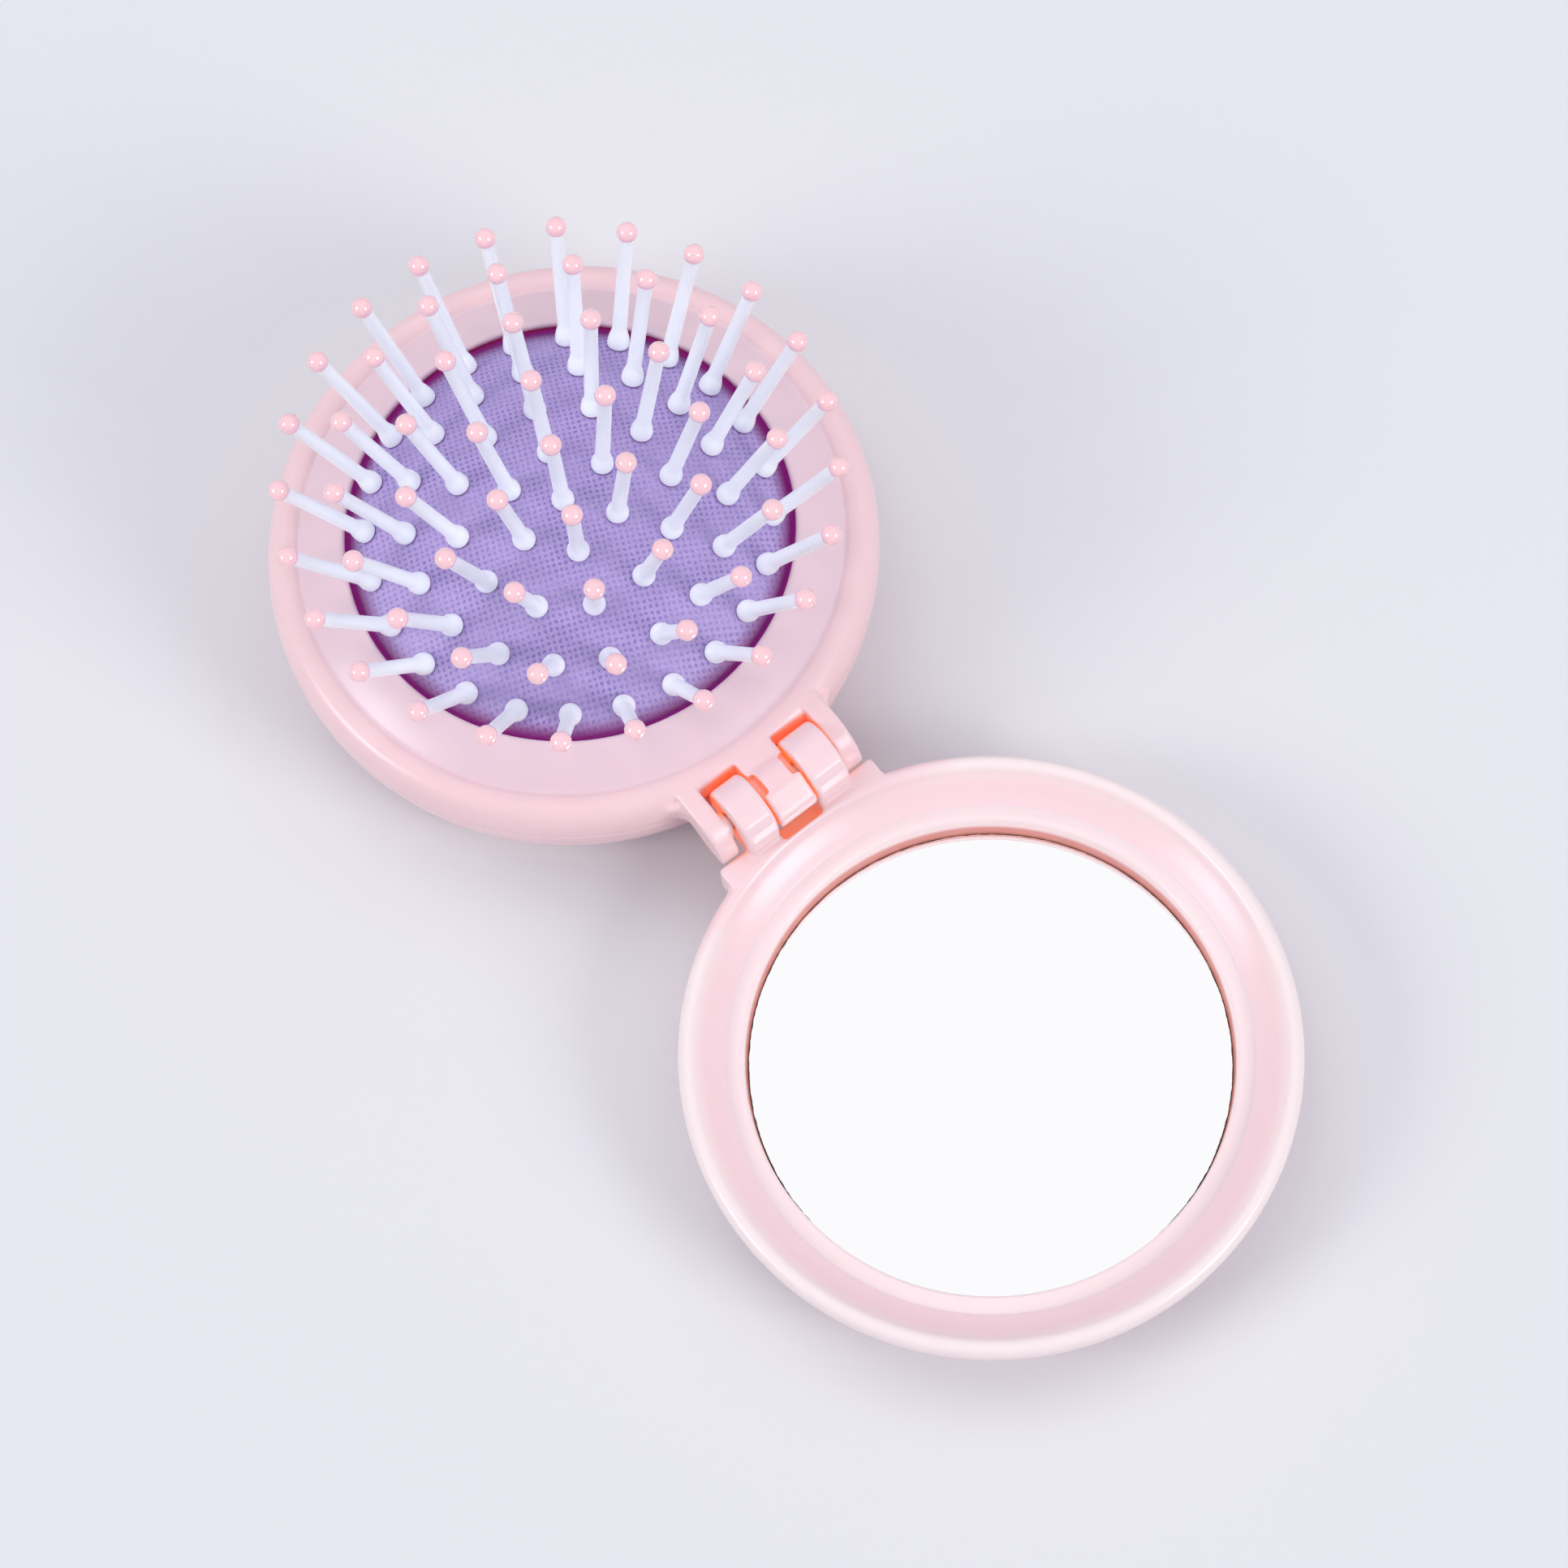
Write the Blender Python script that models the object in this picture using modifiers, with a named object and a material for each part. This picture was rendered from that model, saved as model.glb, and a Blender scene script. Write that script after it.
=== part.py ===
"""Pocket mirror comb: a round folding compact with a pop-up pin brush in one half and a mirror in the other.

It lies open on its two flat backs, as far as the hinge lets it go. The brush half is at -X and the
mirror lid at +X, and the hinge axis runs along Y. The soft cushion stands up through the hole of the
front frame. For closing it is pressed flat to the floor of the brush half, and its pins turn upright.
Lengths are in metres.
"""

import math

import bmesh
import bpy
from mathutils import Matrix, Vector

MM = 0.001
OBJECT_NAME = "pocket_mirror_comb"

# Layout of the two halves
BRUSH_RADIUS = 34.6 * MM
LID_INSET = 0.6 * MM
HINGE_OFFSET = 2.83 * MM
AXIS_HEIGHT = 13.6 * MM
RUN_GAP = 0.3 * MM
JOIN_STEP = 0.3 * MM
OVERRUN = 2.0 * MM
TURN_STEPS = 32
SMALL_TURN_STEPS = 24

# Brush half, front frame
FRAME_CREST_RISE = 2.35 * MM
FRAME_CREST_INSET = 2.2 * MM
FRAME_BEAD_WIDTH = 3.7 * MM
FRAME_BEAD_STEP = 0.6 * MM
WIDEST_DROP = 3.6 * MM
HOLE_INSET = 9.3 * MM
HOLE_RISE = 1.8 * MM
EDGE_THICKNESS = 0.9 * MM
EDGE_ROUND = 0.3 * MM
FRAME_WALL = 1.6 * MM
ANNULUS_CROWN = 0.25 * MM
SEAM_DROP = 0.75 * MM
COLLAR_WALL = 1.4 * MM

# Brush half, back shell
BASE_INSET = 7.6 * MM
FLOOR_THICKNESS = 1.6 * MM
FINGER_INSET = 8.3 * MM
FINGER_EDGE_ROUND = 0.6 * MM
LIP_HEIGHT = 1.6 * MM
LIP_WALL = 1.1 * MM

# Cushion pad and its retaining ring
DOME_RADIUS = 42.0 * MM
PAD_THICKNESS = 1.0 * MM
SKIRT_OVERHANG = 0.9 * MM
SHOULDER_ROUND = 1.3 * MM
PAD_FLANGE_WIDTH = 1.7 * MM
PAD_LIFT = 0.4 * MM
RETAINER_HEIGHT = 1.8 * MM
RETAINER_WIDTH = 2.3 * MM

# Pins: a ball tip, a tapered shaft, a flared root, a neck through the pad and a flange under it
PIN_LENGTH = 15.2 * MM
BALL_RADIUS = 1.15 * MM
SHAFT_TIP_RADIUS = 0.72 * MM
SHAFT_ROOT_RADIUS = 0.82 * MM
ROOT_RADIUS = 1.28 * MM
ROOT_LENGTH = 2.3 * MM
NECK_RADIUS = 0.65 * MM
PIN_FLANGE_RADIUS = 1.7 * MM
PIN_FLANGE_THICKNESS = 0.6 * MM
PIN_SIDES = 6
RING_COUNTS = (6, 12, 18, 24)
RING_ROOT_SHARES = (0.24, 0.477, 0.702, 0.889)
PIN_RAY_DEGREES = 38.5
FLATTENED_SHARE = 0.11
STRIP_WIDTH = 2.0 * MM
CARRIER_MARGIN = 1.33 * MM

# Mirror lid
LID_CREST_INSET = 1.1 * MM
LID_WIDEST_DROP = 1.4 * MM
LID_BASE_INSET = 9.0 * MM
LID_FLOOR = 2.15 * MM
CREASE_INSET = 5.1 * MM
CREASE_DROP = 2.9 * MM
CHANNEL_WIDTH = 2.7 * MM
CHANNEL_SHARES = ((0.5, 0.25), (1.0, 0.62))
MIRROR_INSET = 2.6 * MM
MIRROR_THICKNESS = 1.8 * MM
TAPE_THICKNESS = 0.8 * MM
TAPE_INSET = 1.3 * MM
GLUE_LINE = 0.1 * MM
BEZEL_LIP_FLARE = 0.3 * MM
BEZEL_RISE = 0.55 * MM
BEZEL_LIP_DROP = 0.9 * MM

# Hinge
BARREL_RADIUS = 3.2 * MM
KNUCKLE_WIDTH = 4.4 * MM
TONGUE_WIDTH = 4.9 * MM
ARM_WIDTH = 2.4 * MM
HINGE_SIDE_GAP = 0.3 * MM
HINGE_PIN_RADIUS = 1.0 * MM
HINGE_BORE_GAP = 0.15 * MM
HINGE_PIN_END_WALL = 0.6 * MM
HINGE_PIN_RECESS = 0.4 * MM
POCKET_GAP = 1.15 * MM
HINGE_WALL = 2.4 * MM
CLAW_REACH = 4.7 * MM
CLAW_GAP = 0.8 * MM
CLAW_NOTCH_START = 2.2 * MM
CLAW_NOTCH_LENGTH = 2.9 * MM
CLAW_NOTCH_DEPTH = 0.95 * MM
KNUCKLE_ROOT_REACH = 4.05 * MM
HINGE_BLOCK_DEPTH = 4.6 * MM
HINGE_BLOCK_LENGTH = 3.6 * MM
BORE_SIDES = 16
BARREL_STEPS = 10

# Places that follow from the sizes above
LID_RADIUS = BRUSH_RADIUS - LID_INSET
HINGE_REACH = BRUSH_RADIUS + HINGE_OFFSET
HINGE_X = LID_INSET / 2
BRUSH_X = HINGE_X - HINGE_REACH
LID_X = HINGE_X + HINGE_REACH
HOLE_RADIUS = BRUSH_RADIUS - HOLE_INSET
BASE_RADIUS = BRUSH_RADIUS - BASE_INSET
FINGER_RADIUS = HOLE_RADIUS - FINGER_INSET
LID_BASE_RADIUS = LID_RADIUS - LID_BASE_INSET
CREASE_RADIUS = LID_RADIUS - CREASE_INSET
MIRROR_RADIUS = CREASE_RADIUS - MIRROR_INSET
FRAME_CREST_Z = AXIS_HEIGHT + FRAME_CREST_RISE
HOLE_Z = FRAME_CREST_Z + HOLE_RISE
WIDEST_Z = FRAME_CREST_Z - WIDEST_DROP
SEAM_Z = WIDEST_Z - SEAM_DROP
SKIRT_RADIUS = HOLE_RADIUS + SKIRT_OVERHANG
COLLAR_RADIUS = SKIRT_RADIUS + RUN_GAP
PAD_FOOT_Z = FLOOR_THICKNESS + PAD_LIFT
RETAINER_Z = PAD_FOOT_Z + PAD_THICKNESS + RUN_GAP
COLLAR_FOOT_Z = RETAINER_Z + RETAINER_HEIGHT + RUN_GAP
PAD_EDGE_Z = HOLE_Z - EDGE_THICKNESS - RUN_GAP
DOME_CENTRE_Z = PAD_EDGE_Z - math.sqrt(DOME_RADIUS**2 - HOLE_RADIUS**2)
CROWN_Z = DOME_CENTRE_Z + DOME_RADIUS
LID_CREST_Z = AXIS_HEIGHT - FRAME_CREST_RISE - RUN_GAP
LID_WIDEST_Z = LID_CREST_Z - LID_WIDEST_DROP
SEAT_RADIUS = CREASE_RADIUS + RUN_GAP / 2
BEZEL_RADIUS = CREASE_RADIUS - RUN_GAP / 2
CREASE_Z = LID_CREST_Z - CREASE_DROP
TAPE_Z = LID_FLOOR + GLUE_LINE
MIRROR_Z = TAPE_Z + TAPE_THICKNESS + GLUE_LINE
MIRROR_TOP_Z = MIRROR_Z + MIRROR_THICKNESS
BEZEL_BORE = MIRROR_RADIUS + RUN_GAP
KNUCKLE_Y = TONGUE_WIDTH / 2 + HINGE_SIDE_GAP + KNUCKLE_WIDTH / 2
ARM_Y = KNUCKLE_Y + KNUCKLE_WIDTH / 2 + HINGE_SIDE_GAP + ARM_WIDTH / 2
HINGE_HALF_WIDTH = ARM_Y + ARM_WIDTH / 2
HALF_POCKET = KNUCKLE_WIDTH / 2 + HINGE_SIDE_GAP
POCKET_X = -BARREL_RADIUS - POCKET_GAP
HINGE_WALL_FOOT = SEAM_Z - AXIS_HEIGHT + JOIN_STEP
BORE_RADIUS = (HINGE_PIN_RADIUS + HINGE_BORE_GAP) / math.cos(math.pi / BORE_SIDES)


def clear_scene():
    """Remove what the startup scene holds."""
    for obj in list(bpy.data.objects):
        bpy.data.objects.remove(obj, do_unlink=True)


def new_collection(name):
    """A collection linked to the scene."""
    collection = bpy.data.collections.new(name)
    bpy.context.scene.collection.children.link(collection)
    return collection


def principled(name, colour, roughness, metallic=0.0):
    """A plain Principled material."""
    material = bpy.data.materials.new(name)
    material.use_nodes = True
    shader = material.node_tree.nodes["Principled BSDF"]
    shader.inputs["Base Color"].default_value = (*colour, 1.0)
    shader.inputs["Roughness"].default_value = roughness
    shader.inputs["Metallic"].default_value = metallic
    return material


def arc(centre, radii, start, end, steps):
    """Points along an ellipse's arc, from start to end in degrees."""
    points = []
    for i in range(steps + 1):
        angle = math.radians(start + (end - start) * i / steps)
        points.append((centre[0] + radii[0] * math.cos(angle), centre[1] + radii[1] * math.sin(angle)))
    return points


def add_object(name, mesh, collection, material=None):
    """An object for the mesh, in its collection."""
    obj = bpy.data.objects.new(name, mesh)
    collection.objects.link(obj)
    if material:
        mesh.materials.clear()
        mesh.materials.append(material)
    return obj


def add_screw(obj, steps):
    """Turn the object's profile about its Z axis."""
    screw = obj.modifiers.new("Turn", "SCREW")
    screw.steps = steps
    screw.render_steps = steps
    screw.use_merge_vertices = True
    screw.merge_threshold = 0.001 * MM
    screw.use_smooth_shade = True


def turned(name, profile, collection, material=None, closed=True, steps=TURN_STEPS):
    """A solid of revolution about Z. The profile runs down its outer side; open ones end on the axis."""
    mesh = bpy.data.meshes.new(name)
    count = len(profile)
    edges = [(i, i + 1) for i in range(count - 1)]
    if closed:
        edges.append((count - 1, 0))
    mesh.from_pydata([(r, 0.0, z) for r, z in profile], edges, [])
    obj = add_object(name, mesh, collection, material)
    add_screw(obj, steps)
    return obj


def evaluated_mesh(obj, name):
    """The object's mesh with its modifiers applied, welded."""
    bpy.context.view_layer.update()
    graph = bpy.context.evaluated_depsgraph_get()
    mesh = bpy.data.meshes.new_from_object(obj.evaluated_get(graph))
    mesh.name = name
    shape = bmesh.new()
    shape.from_mesh(mesh)
    bmesh.ops.remove_doubles(shape, verts=shape.verts, dist=0.0001 * MM)
    bmesh.ops.recalc_face_normals(shape, faces=shape.faces)
    shape.to_mesh(mesh)
    shape.free()
    return mesh


def plate(name, outline, middle_y, width, collection):
    """A flat outline in XZ, extruded along Y about middle_y, as a mesh."""
    curve = bpy.data.curves.new(name, "CURVE")
    curve.dimensions = "2D"
    curve.fill_mode = "BOTH"
    curve.extrude = width / 2
    spline = curve.splines.new("POLY")
    spline.points.add(len(outline) - 1)
    for point, (x, z) in zip(spline.points, outline):
        point.co = (x, z, 0.0, 1.0)
    spline.use_cyclic_u = True
    drawn = bpy.data.objects.new(name + "_outline", curve)
    bpy.context.scene.collection.objects.link(drawn)
    mesh = evaluated_mesh(drawn, name)
    bpy.data.objects.remove(drawn, do_unlink=True)
    mesh.transform(Matrix.Translation((0.0, middle_y, 0.0)) @ Matrix.Rotation(math.pi / 2, 4, "X"))
    return add_object(name, mesh, collection)


def box(name, low, high, collection):
    """A box between two corners."""
    shape = bmesh.new()
    bmesh.ops.create_cube(shape, size=1.0)
    for vertex in shape.verts:
        vertex.co = Vector([low[k] if vertex.co[k] < 0 else high[k] for k in range(3)])
    mesh = bpy.data.meshes.new(name)
    shape.to_mesh(mesh)
    shape.free()
    return add_object(name, mesh, collection)


def cylinder_along_y(name, radius, low_y, high_y, sides, collection, material=None):
    """A closed cylinder along Y, about the origin's X and Z."""
    shape = bmesh.new()
    bmesh.ops.create_cone(
        shape,
        cap_ends=True,
        segments=sides,
        radius1=radius,
        radius2=radius,
        depth=high_y - low_y,
        matrix=Matrix.Translation((0.0, (low_y + high_y) / 2, 0.0)) @ Matrix.Rotation(math.pi / 2, 4, "X"),
    )
    mesh = bpy.data.meshes.new(name)
    shape.to_mesh(mesh)
    shape.free()
    return add_object(name, mesh, collection, material)


def combine(obj, operation, other):
    """A Boolean with another mesh, which becomes a hidden helper."""
    modifier = obj.modifiers.new(other.name, "BOOLEAN")
    modifier.operation = operation
    modifier.solver = "EXACT"
    modifier.object = other
    other.hide_render = True
    other.display_type = "WIRE"


def smooth(obj, degrees=35.0):
    """Shade the object smooth, with sharp edges kept."""
    obj.data.shade_smooth()
    obj.data.set_sharp_from_angle(angle=math.radians(degrees))


def place(obj, parent, location=(0.0, 0.0, 0.0)):
    """Parent the object and place it in its parent's frame."""
    obj.parent = parent
    obj.location = location


def empty(name, location, collection, turn=0.0, parent=None):
    """An empty that carries pieces."""
    obj = bpy.data.objects.new(name, None)
    collection.objects.link(obj)
    obj.empty_display_size = BALL_RADIUS
    obj.parent = parent
    obj.location = location
    obj.rotation_euler = (0.0, 0.0, turn)
    return obj


def bowl_radius(z):
    """Outer radius of the brush half's side at a height, an ellipse from the base to the widest line."""
    share = (WIDEST_Z - z) / WIDEST_Z
    return BASE_RADIUS + (BRUSH_RADIUS - BASE_RADIUS) * math.sqrt(1 - share**2)


def front_frame_profile():
    """Rim bead, sloping annulus, hole edge and the collar that stands on the retaining ring."""
    crest_r = BRUSH_RADIUS - FRAME_CREST_INSET
    step_r = BRUSH_RADIUS - FRAME_BEAD_WIDTH
    step_z = FRAME_CREST_Z - FRAME_BEAD_STEP
    hole_top_r = HOLE_RADIUS + EDGE_ROUND
    middle_r = (hole_top_r + step_r) / 2
    middle_z = (HOLE_Z + step_z) / 2 + ANNULUS_CROWN
    outer_collar = COLLAR_RADIUS + COLLAR_WALL
    inner_wall = BRUSH_RADIUS - FRAME_WALL
    under_z = middle_z - FRAME_WALL
    points = [(HOLE_RADIUS, HOLE_Z - EDGE_ROUND), (hole_top_r, HOLE_Z), (middle_r, middle_z)]
    points += arc((crest_r, step_z), (crest_r - step_r, FRAME_BEAD_STEP), 180, 90, 3)
    points += arc((crest_r, WIDEST_Z), (FRAME_CREST_INSET, WIDEST_DROP), 90, 0, 6)[1:]
    points += [(bowl_radius(SEAM_Z), SEAM_Z), (inner_wall, SEAM_Z)]
    points += arc(
        (inner_wall - FRAME_WALL, WIDEST_Z), (FRAME_WALL, WIDEST_DROP - FRAME_WALL), 0, 90, 3
    )
    points += [(outer_collar, under_z), (outer_collar, COLLAR_FOOT_Z), (COLLAR_RADIUS, COLLAR_FOOT_Z)]
    points += [(COLLAR_RADIUS, HOLE_Z - EDGE_THICKNESS - RUN_GAP), (HOLE_RADIUS, HOLE_Z - EDGE_THICKNESS)]
    return points


def back_shell_profile():
    """Bowl with the round thumb opening in its flat base, and the lip that locates the front frame."""
    top_z = SEAM_Z - RUN_GAP
    start = math.degrees(math.acos((bowl_radius(top_z) - BASE_RADIUS) / (BRUSH_RADIUS - BASE_RADIUS)))
    inner_r = BRUSH_RADIUS - FRAME_WALL
    inner_radii = (inner_r - BASE_RADIUS, WIDEST_Z - FLOOR_THICKNESS)
    lip_r = inner_r - RUN_GAP
    points = [(lip_r, SEAM_Z - RUN_GAP + LIP_HEIGHT), (lip_r, top_z)]
    points += arc((BASE_RADIUS, WIDEST_Z), (BRUSH_RADIUS - BASE_RADIUS, WIDEST_Z), -start, -90, 6)
    points += arc(
        (FINGER_RADIUS + FINGER_EDGE_ROUND, FINGER_EDGE_ROUND),
        (FINGER_EDGE_ROUND, FINGER_EDGE_ROUND),
        -90,
        -180,
        2,
    )
    points += [(FINGER_RADIUS, FLOOR_THICKNESS)]
    points += arc((BASE_RADIUS, WIDEST_Z), inner_radii, -90, -start, 5)[:-1]
    points += [(lip_r - LIP_WALL, top_z), (lip_r - LIP_WALL, SEAM_Z - RUN_GAP + LIP_HEIGHT)]
    return points


def dome_edge_angle():
    """Polar angle where the dome runs into the rounded shoulder above the skirt."""
    return math.asin((SKIRT_RADIUS - SHOULDER_ROUND) / (DOME_RADIUS - SHOULDER_ROUND))


def pad_profile():
    """Domed top, rounded shoulder, straight skirt and clamped foot flange, one sheet thick."""
    edge = dome_edge_angle()
    edge_degrees = math.degrees(edge)
    shoulder = (
        (DOME_RADIUS - SHOULDER_ROUND) * math.sin(edge),
        DOME_CENTRE_Z + (DOME_RADIUS - SHOULDER_ROUND) * math.cos(edge),
    )
    inner_dome = DOME_RADIUS - PAD_THICKNESS
    inner_round = SHOULDER_ROUND - PAD_THICKNESS
    foot_top = PAD_FOOT_Z + PAD_THICKNESS
    foot_r = SKIRT_RADIUS + PAD_FLANGE_WIDTH
    centre = (0.0, DOME_CENTRE_Z)
    points = arc(centre, (DOME_RADIUS, DOME_RADIUS), 90, 90 - edge_degrees, 7)
    points[0] = (0.0, CROWN_Z)
    points += arc(shoulder, (SHOULDER_ROUND, SHOULDER_ROUND), 90 - edge_degrees, 0, 2)[1:]
    points += [(SKIRT_RADIUS, foot_top), (foot_r, foot_top), (foot_r, PAD_FOOT_Z)]
    points += [(SKIRT_RADIUS - PAD_THICKNESS, PAD_FOOT_Z)]
    points += arc(shoulder, (inner_round, inner_round), 0, 90 - edge_degrees, 1)
    points += arc(centre, (inner_dome, inner_dome), 90 - edge_degrees, 90, 7)[1:]
    points[-1] = (0.0, CROWN_Z - PAD_THICKNESS)
    return points


def pin_profile():
    """From the ball tip down to the flange, along a pin that stands at the pad's surface."""
    neck_foot = -PAD_THICKNESS - RUN_GAP
    shaft_top = PIN_LENGTH - math.sqrt(BALL_RADIUS**2 - SHAFT_TIP_RADIUS**2)
    half_way = BALL_RADIUS * math.sqrt(0.5)
    return [
        (0.0, PIN_LENGTH + BALL_RADIUS),
        (half_way, PIN_LENGTH + half_way),
        (BALL_RADIUS, PIN_LENGTH),
        (SHAFT_TIP_RADIUS, shaft_top),
        (SHAFT_ROOT_RADIUS, RUN_GAP + ROOT_LENGTH),
        (ROOT_RADIUS, RUN_GAP),
        (NECK_RADIUS, RUN_GAP),
        (NECK_RADIUS, neck_foot),
        (PIN_FLANGE_RADIUS, neck_foot),
        (PIN_FLANGE_RADIUS, neck_foot - PIN_FLANGE_THICKNESS),
        (0.0, neck_foot - PIN_FLANGE_THICKNESS),
    ]


def ring_root(ring):
    """Radius, height and outward tilt of a ring's pin roots on the dome. Ring 0 is the centre pin."""
    radius = HOLE_RADIUS * RING_ROOT_SHARES[ring - 1] if ring else 0.0
    tilt = math.asin(radius / DOME_RADIUS)
    return radius, DOME_CENTRE_Z + DOME_RADIUS * math.cos(tilt), tilt


def flattened_z(z):
    """Height of a point of the pad once it is pressed flat."""
    return PAD_FOOT_Z + FLATTENED_SHARE * (z - PAD_FOOT_Z)


def retraction_pivot(radius, z, tilt):
    """The one axis about which a root drops straight down while its pin turns upright."""
    drop = z - flattened_z(z)
    return radius + drop / 2 / math.tan(tilt / 2), z - drop / 2


def pin_matrix(ring, azimuth):
    """Where a pin stands on the dome, in the brush half's frame."""
    radius, z, tilt = ring_root(ring)
    return (
        Matrix.Rotation(azimuth, 4, "Z")
        @ Matrix.Translation((radius, 0.0, z))
        @ Matrix.Rotation(tilt, 4, "Y")
    )


def pin_azimuths(ring):
    """Azimuths of a ring's pins. All rings share one ray."""
    count = RING_COUNTS[ring - 1]
    return [math.radians(PIN_RAY_DEGREES + 360 * i / count) for i in range(count)]


def all_pins():
    """Every pin's ring and azimuth, from the centre outwards."""
    pins = [(0, 0.0)]
    for ring in range(1, len(RING_COUNTS) + 1):
        pins += [(ring, azimuth) for azimuth in pin_azimuths(ring)]
    return pins


def pad_hole_cutters(collection):
    """One mesh of short prisms, one for each pin's neck."""
    shape = bmesh.new()
    reach = PAD_THICKNESS + OVERRUN
    for ring, azimuth in all_pins():
        bmesh.ops.create_cone(
            shape,
            cap_ends=True,
            segments=PIN_SIDES,
            radius1=NECK_RADIUS + RUN_GAP,
            radius2=NECK_RADIUS + RUN_GAP,
            depth=reach,
            matrix=pin_matrix(ring, azimuth) @ Matrix.Translation((0.0, 0.0, -PAD_THICKNESS / 2)),
        )
    mesh = bpy.data.meshes.new("pin_holes")
    shape.to_mesh(mesh)
    shape.free()
    return add_object("pin_holes", mesh, collection)


def pin_template(cutters):
    """The pin's mesh, standing at the origin, which every pin shares."""
    turned_pin = turned("pin_profile", pin_profile(), cutters, closed=False, steps=PIN_SIDES)
    mesh = evaluated_mesh(turned_pin, "pin")
    bpy.data.objects.remove(turned_pin, do_unlink=True)
    return mesh


def merged_mesh(name, base, others, cutters):
    """The union of a base mesh and others, each given with its matrix."""
    core = add_object(name + "_core", base, cutters)
    helpers = []
    for i, (mesh, matrix) in enumerate(others):
        helper = add_object(f"{name}_pin_{i}", mesh.copy(), cutters)
        helper.data.transform(matrix)
        combine(core, "UNION", helper)
        helpers.append(helper)
    merged = evaluated_mesh(core, name)
    for helper in [core, *helpers]:
        bpy.data.objects.remove(helper, do_unlink=True)
    return merged


def strip_mesh(cutters):
    """The strip under the pad that joins the two flanges of a ring 2 pair, about azimuth 0."""
    radius, z, tilt = ring_root(2)
    half_step = math.pi / RING_COUNTS[1]
    depth = PAD_THICKNESS + RUN_GAP + PIN_FLANGE_THICKNESS / 2
    sunk = radius - depth * math.sin(tilt)
    matrix = Matrix.Translation(
        (sunk * math.cos(half_step), 0.0, z - depth * math.cos(tilt))
    ) @ Matrix.Rotation(tilt, 4, "Y")
    half = (STRIP_WIDTH / 2, sunk * math.sin(half_step), PIN_FLANGE_THICKNESS / 4)
    strip = box("strip", [-h for h in half], half, cutters)
    strip.data.transform(matrix)
    mesh = strip.data
    bpy.data.objects.remove(strip, do_unlink=True)
    return mesh


def carrier_mesh(cutters):
    """The slice under the pad's crown that joins the centre pin and ring 1."""
    top = DOME_RADIUS - PAD_THICKNESS - RUN_GAP
    bottom = top - PIN_FLANGE_THICKNESS
    edge = math.degrees(math.asin((ring_root(1)[0] + CARRIER_MARGIN) / top))
    centre = (0.0, DOME_CENTRE_Z)
    points = arc(centre, (top, top), 90, 90 - edge, 2)
    points += arc(centre, (bottom, bottom), 90 - edge, 90, 2)
    points[0] = (0.0, DOME_CENTRE_Z + top)
    points[-1] = (0.0, DOME_CENTRE_Z + bottom)
    carrier = turned("carrier", points, cutters, closed=False, steps=SMALL_TURN_STEPS)
    mesh = evaluated_mesh(carrier, "carrier")
    bpy.data.objects.remove(carrier, do_unlink=True)
    return mesh


def make_single_pins(ring, template, brush, parts, nylon):
    """One object for each pin of an outer ring, carried by an empty on its retraction axis."""
    radius, z, tilt = ring_root(ring)
    pivot_r, pivot_z = retraction_pivot(radius, z, tilt)
    for i, azimuth in enumerate(pin_azimuths(ring)):
        where = (pivot_r * math.cos(azimuth), pivot_r * math.sin(azimuth), pivot_z)
        carrier = empty(f"pivot_{ring}_{i + 1:02d}", where, parts, azimuth, brush)
        pin = add_object(f"pin_{ring}_{i + 1:02d}", template, parts, nylon)
        pin.parent = carrier
        pin.location = (radius - pivot_r, 0.0, z - pivot_z)
        pin.rotation_euler = (0.0, tilt, 0.0)


def make_pin_pairs(template, brush, parts, cutters, nylon):
    """Ring 2, two pins to a strip, each pair on its retraction axis."""
    radius, z, tilt = ring_root(2)
    count = RING_COUNTS[1]
    half_step = math.pi / count
    pair_radius = radius * math.cos(half_step)
    pivot_r, pivot_z = retraction_pivot(pair_radius, z, tilt)
    pins = [(template, pin_matrix(2, side * half_step)) for side in (-1, 1)]
    pair = merged_mesh("pin_pair", strip_mesh(cutters), pins, cutters)
    pair.transform(Matrix.Translation((-pivot_r, 0.0, -pivot_z)))
    pair.shade_smooth()
    for i in range(count // 2):
        azimuth = pin_azimuths(2)[2 * i] + half_step
        obj = add_object(f"pin_pair_{i + 1}", pair, parts, nylon)
        place(obj, brush, (pivot_r * math.cos(azimuth), pivot_r * math.sin(azimuth), pivot_z))
        obj.rotation_euler = (0.0, 0.0, azimuth)


def make_centre_pins(template, brush, parts, cutters, nylon):
    """The centre pin and ring 1 on the slice that carries them."""
    pins = [(template, pin_matrix(0, 0.0))]
    pins += [(template, pin_matrix(1, azimuth)) for azimuth in pin_azimuths(1)]
    mesh = merged_mesh("pins_centre", carrier_mesh(cutters), pins, cutters)
    mesh.transform(Matrix.Translation((0.0, 0.0, -CROWN_Z)))
    mesh.shade_smooth()
    place(add_object("pins_centre", mesh, parts, nylon), brush, (0.0, 0.0, CROWN_Z))


def make_cushion(brush, parts, cutters, rubber, inner_plastic):
    """The pad with its pin holes, and the ring that holds its foot down."""
    pad = turned("cushion_pad", pad_profile(), parts, rubber, closed=False, steps=SMALL_TURN_STEPS)
    holes = pad_hole_cutters(cutters)
    combine(pad, "DIFFERENCE", holes)
    place(holes, brush)
    place(pad, brush)
    inner = COLLAR_RADIUS
    outer = COLLAR_RADIUS + RETAINER_WIDTH
    top = RETAINER_Z + RETAINER_HEIGHT
    profile = [(inner, top), (outer, top), (outer, RETAINER_Z), (inner, RETAINER_Z)]
    ring = turned("retaining_ring", profile, parts, inner_plastic, steps=SMALL_TURN_STEPS)
    place(ring, brush)


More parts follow.
